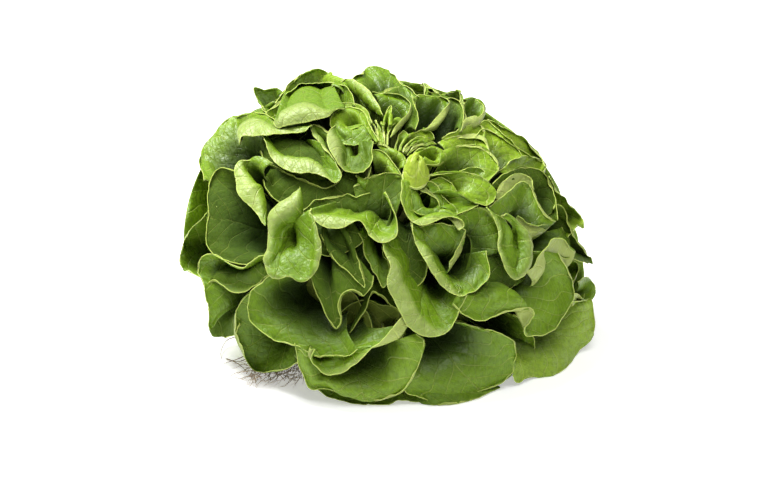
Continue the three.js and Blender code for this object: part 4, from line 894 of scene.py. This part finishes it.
def leaf_material(name, light, green, dark):
    """A waxy leaf: green blade with painted shade towards the stem, pale veins and rim, a painted highlight
    on the lip, olive underside.
    """
    material, tree, shader = new_material(name)
    tint = attribute_node(tree, "tint")
    vein = vein_node(tree)
    speckle = range_node(tree, noise_node(tree, SPECKLE_SCALE), *SPECKLE_RANGE)
    # The tint mixes the leaf's own tone with painted light and shade
    blade = mix_node(tree, range_node(tree, tint, 0, MIDDLE_TINT), dark, green)
    blade = mix_node(tree, range_node(tree, tint, MIDDLE_TINT, 1), blade, light)
    blade = layer_node(tree, blade, light, noise_node(tree, PATCH_SCALE), PATCH_STRENGTH)
    blade = layer_node(tree, blade, dark, speckle, SPECKLE_STRENGTH)
    blade = layer_node(tree, blade, VEIN_PALE, vein, blend_node(tree, tint, *VEIN_STRENGTHS))
    # Painted shade: the blade darkens towards the stem and deep in the head
    shade = range_node(tree, attribute_node(tree, "depth"), *SHADE_RANGE)
    blade = mix_node(tree, shade, PAINTED_RECESS_SHADE, blade)
    # Painted highlight on the turned-over lip
    blade = layer_node(tree, blade, LIP_PAINTED_HIGHLIGHT, attribute_node(tree, "lip"), LIP_HIGHLIGHT_STRENGTH)
    under = mix_node(tree, tint, UNDER_OLIVE, UNDER_PALE)
    under = layer_node(tree, under, VEIN_PALE, vein, UNDER_VEIN_STRENGTH)
    colour = mix_node(tree, attribute_node(tree, "upper"), under, blade)
    colour = layer_node(tree, colour, RIM_PALE, attribute_node(tree, "rim"), RIM_STRENGTH)
    tree.links.new(colour, shader.inputs["Base Color"])
    gloss = range_node(tree, tint, 0, MIDDLE_TINT)
    tree.links.new(blend_node(tree, gloss, *ROUGHNESSES), shader.inputs["Roughness"])
    tree.links.new(blend_node(tree, gloss, *SHEENS), shader.inputs["Specular IOR Level"])
    shader.inputs["Subsurface Weight"].default_value = LIGHT_INSIDE
    shader.inputs["Subsurface Radius"].default_value = LIGHT_REACH
    shader.inputs["Subsurface Scale"].default_value = LIGHT_REACH_SCALE
    grain = scaled_node(tree, noise_node(tree, GRAIN_SCALE), GRAIN_HEIGHT)
    height = number_node(tree, "SUBTRACT", grain, scaled_node(tree, vein, VEIN_GROOVE))
    add_bump(tree, shader, height, *LEAF_BUMP)
    return material


def plain_material(name, first, second, scale, roughness):
    """Two colours in soft patches."""
    material, tree, shader = new_material(name)
    tree.links.new(mix_node(tree, noise_node(tree, scale), first, second), shader.inputs["Base Color"])
    shader.inputs["Roughness"].default_value = roughness
    add_bump(tree, shader, noise_node(tree, scale * PLAIN_GRAIN), *PLAIN_BUMP)
    return material


def make_leaves():
    """The drawn leaves, and those by rule that the front view doesn't reach."""
    outer = leaf_material("outer_leaf", LEAF_LIGHT, LEAF_GREEN, LEAF_DARK)
    inner = leaf_material("inner_leaf", HEART_LIGHT, HEART_GREEN, LEAF_GREEN)
    for number, (name, share, tint, heel, outline) in enumerate(LEAVES):
        material = inner if name.startswith("crown") else outer
        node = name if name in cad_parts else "heart"
        rows = drawn_rows(name in ROLLED, share, heel, outline, Noise(RIM_SEED + number))
        make_leaf("fine_" + name, rows, number, material, node, tint)
    draws = random_from(HIDDEN_SEED)
    for polar, i, share, turn in ring_places(HIDDEN_RINGS, HIDDEN_PHASES, HIDDEN_TURN, draws):
        node = f"hidden_{polar}_{i}"
        rows = hidden_rows(polar, turn, share - HIDDEN_DRAW_IN.get(node, USUAL_DRAW_IN), draws)
        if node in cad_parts:
            make_leaf("fine_" + node, rows, HIDDEN_NUMBER + polar + i, outer, node)


def make_inner_leaves():
    """The leaves deep in the head, which close the gaps between the outer ones, painted in the darkest
    greens as shade.
    """
    inner = leaf_material("deep_leaf", LEAF_GREEN, LEAF_DARK, PAINTED_RECESS_SHADE)
    draws = random_from(HIDDEN_SEED + 1)
    for polar, i, share, turn in ring_places(INNER_RINGS, INNER_PHASES, INNER_TURN, draws):
        rows = hidden_rows(polar, turn, share, draws)
        outward = unit(to_sphere(to_sphere(on_dome(polar, turn, 1) - CENTRE)))
        if outward @ TO_EYE > INNER_VIEW_LIMIT:
            make_leaf(f"deep_{polar}_{i}", rows, INNER_NUMBER + polar + i, inner, "heart", DEEP_SHADE_TINT)


# The root plug as [level along the axis, radius] in millimetres, with its sides, and the size of its
# knobs as a share of the radius
PLUG_PROFILE = [(-82, 8.8), (-78, 10), (-72, 11.5), (-66, 12.8), (-61, 13), (-57, 11.4), (-54.5, 10.4)]
PLUG_SIDES = 40
PLUG_SEED = 61
PLUG_CLEARANCE = 0.05 * MM
KNOB_SIZE = 0.14
KNOB_FREQUENCY = 2.3
KNOB_LENGTH = 4
KNOB_PLACE = 9

# The ends of the thick roots as in the solid model, and the finer ones beside each, in millimetres. A
# swing is [arch, sway]; the jitter is a share of the sway, the sag one of the height, the taper one of
# the radius.
ROOT_ENDS = [[-62, -34, 3], [-78, -10, 2], [-70, 20, 2], [-48, 58, 2], [10, 72, 2], [36, 50, 2]]
ROOT_LEVEL = -60 * MM
ROOT_STEPS = 9
ROOT_CLEARANCE = 0.6
ROOT_JITTER = 0.3
ROOT_SAG = 0.5
ROOT_TAPER = 0.75
MAIN_ROOT_SEED = 78
MAIN_ROOT_RADIUS = 1.3 * MM
MAIN_ROOT_SWING = (3, 3)
SIDE_ROOTS = 9
SIDE_ROOT_RADIUS = 0.4 * MM
SIDE_ROOT_SWING = (3, 6)
SIDE_ROOT_REACH = (-0.5, 0.05)
SIDE_ROOT_SPREAD = 10
SIDE_ROOT_LEVEL = 0.7 * MM

# Loose root hairs at the left front, as [x, y, height] in millimetres of the picture plane
ROOT_HAIRS = [
    [
        [-84, -50, 9], [-90, -53, 8], [-94, -54.5, 6], [-99, -56, 4], [-102, -61, 2], [-103, -66, 1],
        [-102, -68, 0.6],
    ],
    [[-80, -62, 6], [-87, -69, 2], [-94, -70, 1], [-100, -68, 0.6]],
    [[-82, -63, 8], [-89, -67, 5], [-96, -69.5, 2], [-101, -71, 0.6]],
    [[-99, -68, 0.6], [-93, -70, 1.5], [-88, -74, 2], [-85, -78, 0.6]],
]
HAIR_RADIUS = 0.4 * MM

# A tuft of short hairs and the runners that join it to the plug, as ranges in the same measures
TUFT_SEED = 77
TUFT_HAIRS = 150
TUFT_RADIUS = 0.22 * MM
TUFT_STEPS = 4
TUFT_STARTS = ((-86, -50), (-80, -68), (2, 9))
TUFT_REACHES = ((-16, 6), (-9, 3))
TUFT_SWAY = 2.2
TUFT_LIFT = 2
RUNNERS = 14
RUNNER_RADIUS = 0.6 * MM
RUNNER_ENDS = ((-84, -56), (-78, -70), (2, 6))
RUNNER_SWING = (2, 7)


def on_floor(x, y, height):
    """The point at a height over the floor that the eye sees at x, y of the picture plane."""
    ray = CENTRE + PICTURE_RIGHT * x * MM + PICTURE_UP * y * MM - EYE
    return EYE + ray * (height * MM - EYE[2]) / ray[2]


def strand(name, points, radius, material, node=None):
    """A thin root along points."""
    curve = bpy.data.curves.new(name, "CURVE")
    curve.dimensions = "3D"
    spline = curve.splines.new("NURBS")
    spline.points.add(len(points) - 1)
    for i, point in enumerate(points):
        spline.points[i].co = (*point, 1)
        spline.points[i].radius = 1 - ROOT_TAPER * i / (len(points) - 1)
    spline.use_endpoint_u = True
    spline.order_u = 3
    curve.bevel_depth = radius
    curve.bevel_resolution = 1
    piece = link_piece(name, curve, material)
    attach(piece, "root")
    if node:
        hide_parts(node)


def wavy(start, end, swing, rng):
    """A wandering line from start to end that arches up in between and stays over the floor."""
    arch = swing[0] * MM
    sway = swing[1] * MM
    across = unit(np.cross(end - start, [0, 0, 1]))
    line = []
    for step in range(ROOT_STEPS + 1):
        along = step / ROOT_STEPS
        middle = math.sin(math.pi * along)
        point = start + (end - start) * along + across * rng.uniform(-sway, sway) * middle
        point = point + rng.uniform(-ROOT_JITTER, ROOT_JITTER, 3) * sway * middle
        point[2] = max(ROOT_CLEARANCE * MM, point[2] * (1 - ROOT_SAG * middle) + arch * middle)
        line.append(point)
    return line


def make_plug(material):
    """The knobbly root plug under the stalk."""
    noise = Noise(PLUG_SEED)
    turns = np.linspace(0, 2 * math.pi, PLUG_SIDES, endpoint=False)
    spokes = SIDE_A * np.cos(turns)[:, None] + SIDE_B * np.sin(turns)[:, None]
    rings = []
    for level, radius in PLUG_PROFILE:
        x = np.cos(turns) * KNOB_FREQUENCY + KNOB_PLACE
        knobs = noise(x, np.sin(turns) * KNOB_FREQUENCY + level / KNOB_LENGTH) * KNOB_SIZE
        rings.append(CENTRE + AXIS * level * MM + spokes * (radius * (1 + knobs))[:, None] * MM)
    grid = np.array(rings)
    grid[..., 2] = np.maximum(grid[..., 2], PLUG_CLEARANCE)
    top = (len(rings) - 1) * PLUG_SIDES
    faces = [list(range(PLUG_SIDES))[::-1]]
    for row in range(0, top, PLUG_SIDES):
        for i in range(PLUG_SIDES):
            j = (i + 1) % PLUG_SIDES
            faces.append([row + i, row + j, row + PLUG_SIDES + j, row + PLUG_SIDES + i])
    faces.append([top + i for i in range(PLUG_SIDES)])
    mesh = bpy.data.meshes.new("fine_plug")
    mesh.from_pydata([tuple(p) for p in grid.reshape(-1, 3)], [], faces)
    mesh.polygons.foreach_set("use_smooth", np.ones(len(mesh.polygons), bool))
    piece = link_piece("fine_plug", mesh, material)
    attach(piece, "root")
    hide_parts("roots")


def make_root_hairs(material):
    """The loose hairs of the drawn view, a tuft of short ones, and runners that join them to the plug."""
    for i, line in enumerate(ROOT_HAIRS):
        strand(f"root_hair_{i}", [on_floor(*point) for point in line], HAIR_RADIUS, material)
    rng = np.random.default_rng(TUFT_SEED)
    for i in range(TUFT_HAIRS):
        start = np.array([rng.uniform(*limits) for limits in TUFT_STARTS])
        reach = np.array([rng.uniform(*limits) for limits in TUFT_REACHES])
        line = [start]
        for step in range(1, TUFT_STEPS + 1):
            sway = rng.uniform(-TUFT_SWAY, TUFT_SWAY, 2)
            height = max(ROOT_CLEARANCE, start[2] * (1 - step / TUFT_STEPS) + rng.uniform(0, TUFT_LIFT))
            line.append(np.array([*(start[:2] + reach * step / TUFT_STEPS + sway), height]))
        strand(f"root_tuft_{i}", [on_floor(*point) for point in line], TUFT_RADIUS, material)
    foot = CENTRE + AXIS * ROOT_LEVEL
    for i in range(RUNNERS):
        end = on_floor(*(rng.uniform(*limits) for limits in RUNNER_ENDS))
        strand(f"root_runner_{i}", wavy(foot, end, RUNNER_SWING, rng), RUNNER_RADIUS, material)


def make_main_roots(material):
    """The thick roots that leave the plug, each with finer ones beside it."""
    rng = np.random.default_rng(MAIN_ROOT_SEED)
    foot = CENTRE + AXIS * ROOT_LEVEL
    shift = np.array([CENTRE[0], CENTRE[1], 0])
    for i, end in enumerate(ROOT_ENDS):
        end = shift + np.array(end) * MM
        line = wavy(foot, end, MAIN_ROOT_SWING, rng)
        strand(f"main_root_{i}", line, MAIN_ROOT_RADIUS, material, "roots")
        for k in range(SIDE_ROOTS):
            reach = end + (end - foot) * rng.uniform(*SIDE_ROOT_REACH)
            reach = reach + rng.uniform(-SIDE_ROOT_SPREAD, SIDE_ROOT_SPREAD, 3) * MM
            reach[2] = SIDE_ROOT_LEVEL
            line = wavy(foot, reach, SIDE_ROOT_SWING, rng)
            strand(f"side_root_{i}_{k}", line, SIDE_ROOT_RADIUS, material, "roots")


# Two colours, the scale of their patches and the roughness, of the stalk and of the roots
STALK_LOOK = ((0.62, 0.66, 0.36, 1), (0.45, 0.52, 0.22, 1), 60, 0.5)
ROOT_LOOK = ((0.22, 0.15, 0.09, 1), (0.42, 0.33, 0.22, 1), 120, 0.85)


def dress_stem_and_roots():
    """The stalk keeps its solid and gets a finish; plug, roots and hairs stand in for the root solid."""
    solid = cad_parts["stem"]
    solid.data.materials.clear()
    solid.data.materials.append(plain_material("stem", *STALK_LOOK))
    earthy = plain_material("roots", *ROOT_LOOK)
    make_plug(earthy)
    make_main_roots(earthy)
    make_root_hairs(earthy)


# Floor and surround, and each lamp's place, size and power in watts
WHITE = (1, 1, 1, 1)
FLOOR_SIZE = 12
FLOOR_LEVEL = -0.2 * MM
FLOOR_GREYS = ((0.86, 0.86, 0.86, 1), (0.88, 0.88, 0.88, 1))
FLOOR_PATCH_SCALE = 3
FLOOR_ROUGHNESS = 0.25
FLOOR_SHEEN = 0.4
FLOOR_GLOW = 0.42
SURROUND_LIGHT = 0.28
BACKDROP_LIGHT = 1.05
LAMPS = [
    ("key", (-0.5, 0.25, 1.2), 0.6, 37),
    ("fill", (0.25, -0.75, 1.3), 0.8, 13),
]


def facing_head(place):
    """The turn of a lamp or a camera at a place that looks at the centre of the head."""
    return (Vector(CENTRE) - Vector(place)).to_track_quat("-Z", "Y").to_euler()


def make_floor():
    """A pale glossy floor that glows a little, so that its shadows stay light."""
    material, tree, shader = new_material("floor")
    shade = mix_node(tree, noise_node(tree, FLOOR_PATCH_SCALE), *FLOOR_GREYS)
    tree.links.new(shade, shader.inputs["Base Color"])
    shader.inputs["Roughness"].default_value = FLOOR_ROUGHNESS
    shader.inputs["Specular IOR Level"].default_value = FLOOR_SHEEN
    shader.inputs["Emission Color"].default_value = WHITE
    shader.inputs["Emission Strength"].default_value = FLOOR_GLOW
    bpy.ops.mesh.primitive_plane_add(size=FLOOR_SIZE, location=(0, 0, FLOOR_LEVEL))
    floor = bpy.context.object
    floor.name = "floor"
    floor.data.materials.append(material)


def make_lights():
    """A soft light above to the left and behind, a weaker one in front, and a white surround."""
    world = bpy.data.worlds.new("studio")
    bpy.context.scene.world = world
    world.use_nodes = True
    tree = world.node_tree
    background = tree.nodes["Background"]
    background.inputs["Color"].default_value = WHITE
    path = tree.nodes.new("ShaderNodeLightPath")
    strength = blend_node(tree, path.outputs["Is Camera Ray"], SURROUND_LIGHT, BACKDROP_LIGHT)
    tree.links.new(strength, background.inputs["Strength"])
    for name, place, size, power in LAMPS:
        data = bpy.data.lights.new(name, "AREA")
        data.size = size
        data.energy = power
        light = bpy.data.objects.new(name, data)
        light.location = place
        light.rotation_euler = facing_head(place)
        bpy.context.scene.collection.objects.link(light)
    bpy.context.scene.view_settings.view_transform = "Standard"


def make_camera():
    """The photograph's view: the picture plane through the centre of the head fills the frame."""
    data = bpy.data.cameras.new("camera")
    data.sensor_width = SENSOR_WIDTH
    data.lens = SENSOR_WIDTH * EYE_DISTANCE / PICTURE_WIDTH
    camera = bpy.data.objects.new("camera", data)
    camera.location = Vector(EYE)
    camera.rotation_euler = facing_head(EYE)
    bpy.context.scene.collection.objects.link(camera)
    bpy.context.scene.camera = camera


make_camera()
make_floor()
make_lights()
make_leaves()
make_inner_leaves()
dress_stem_and_roots()
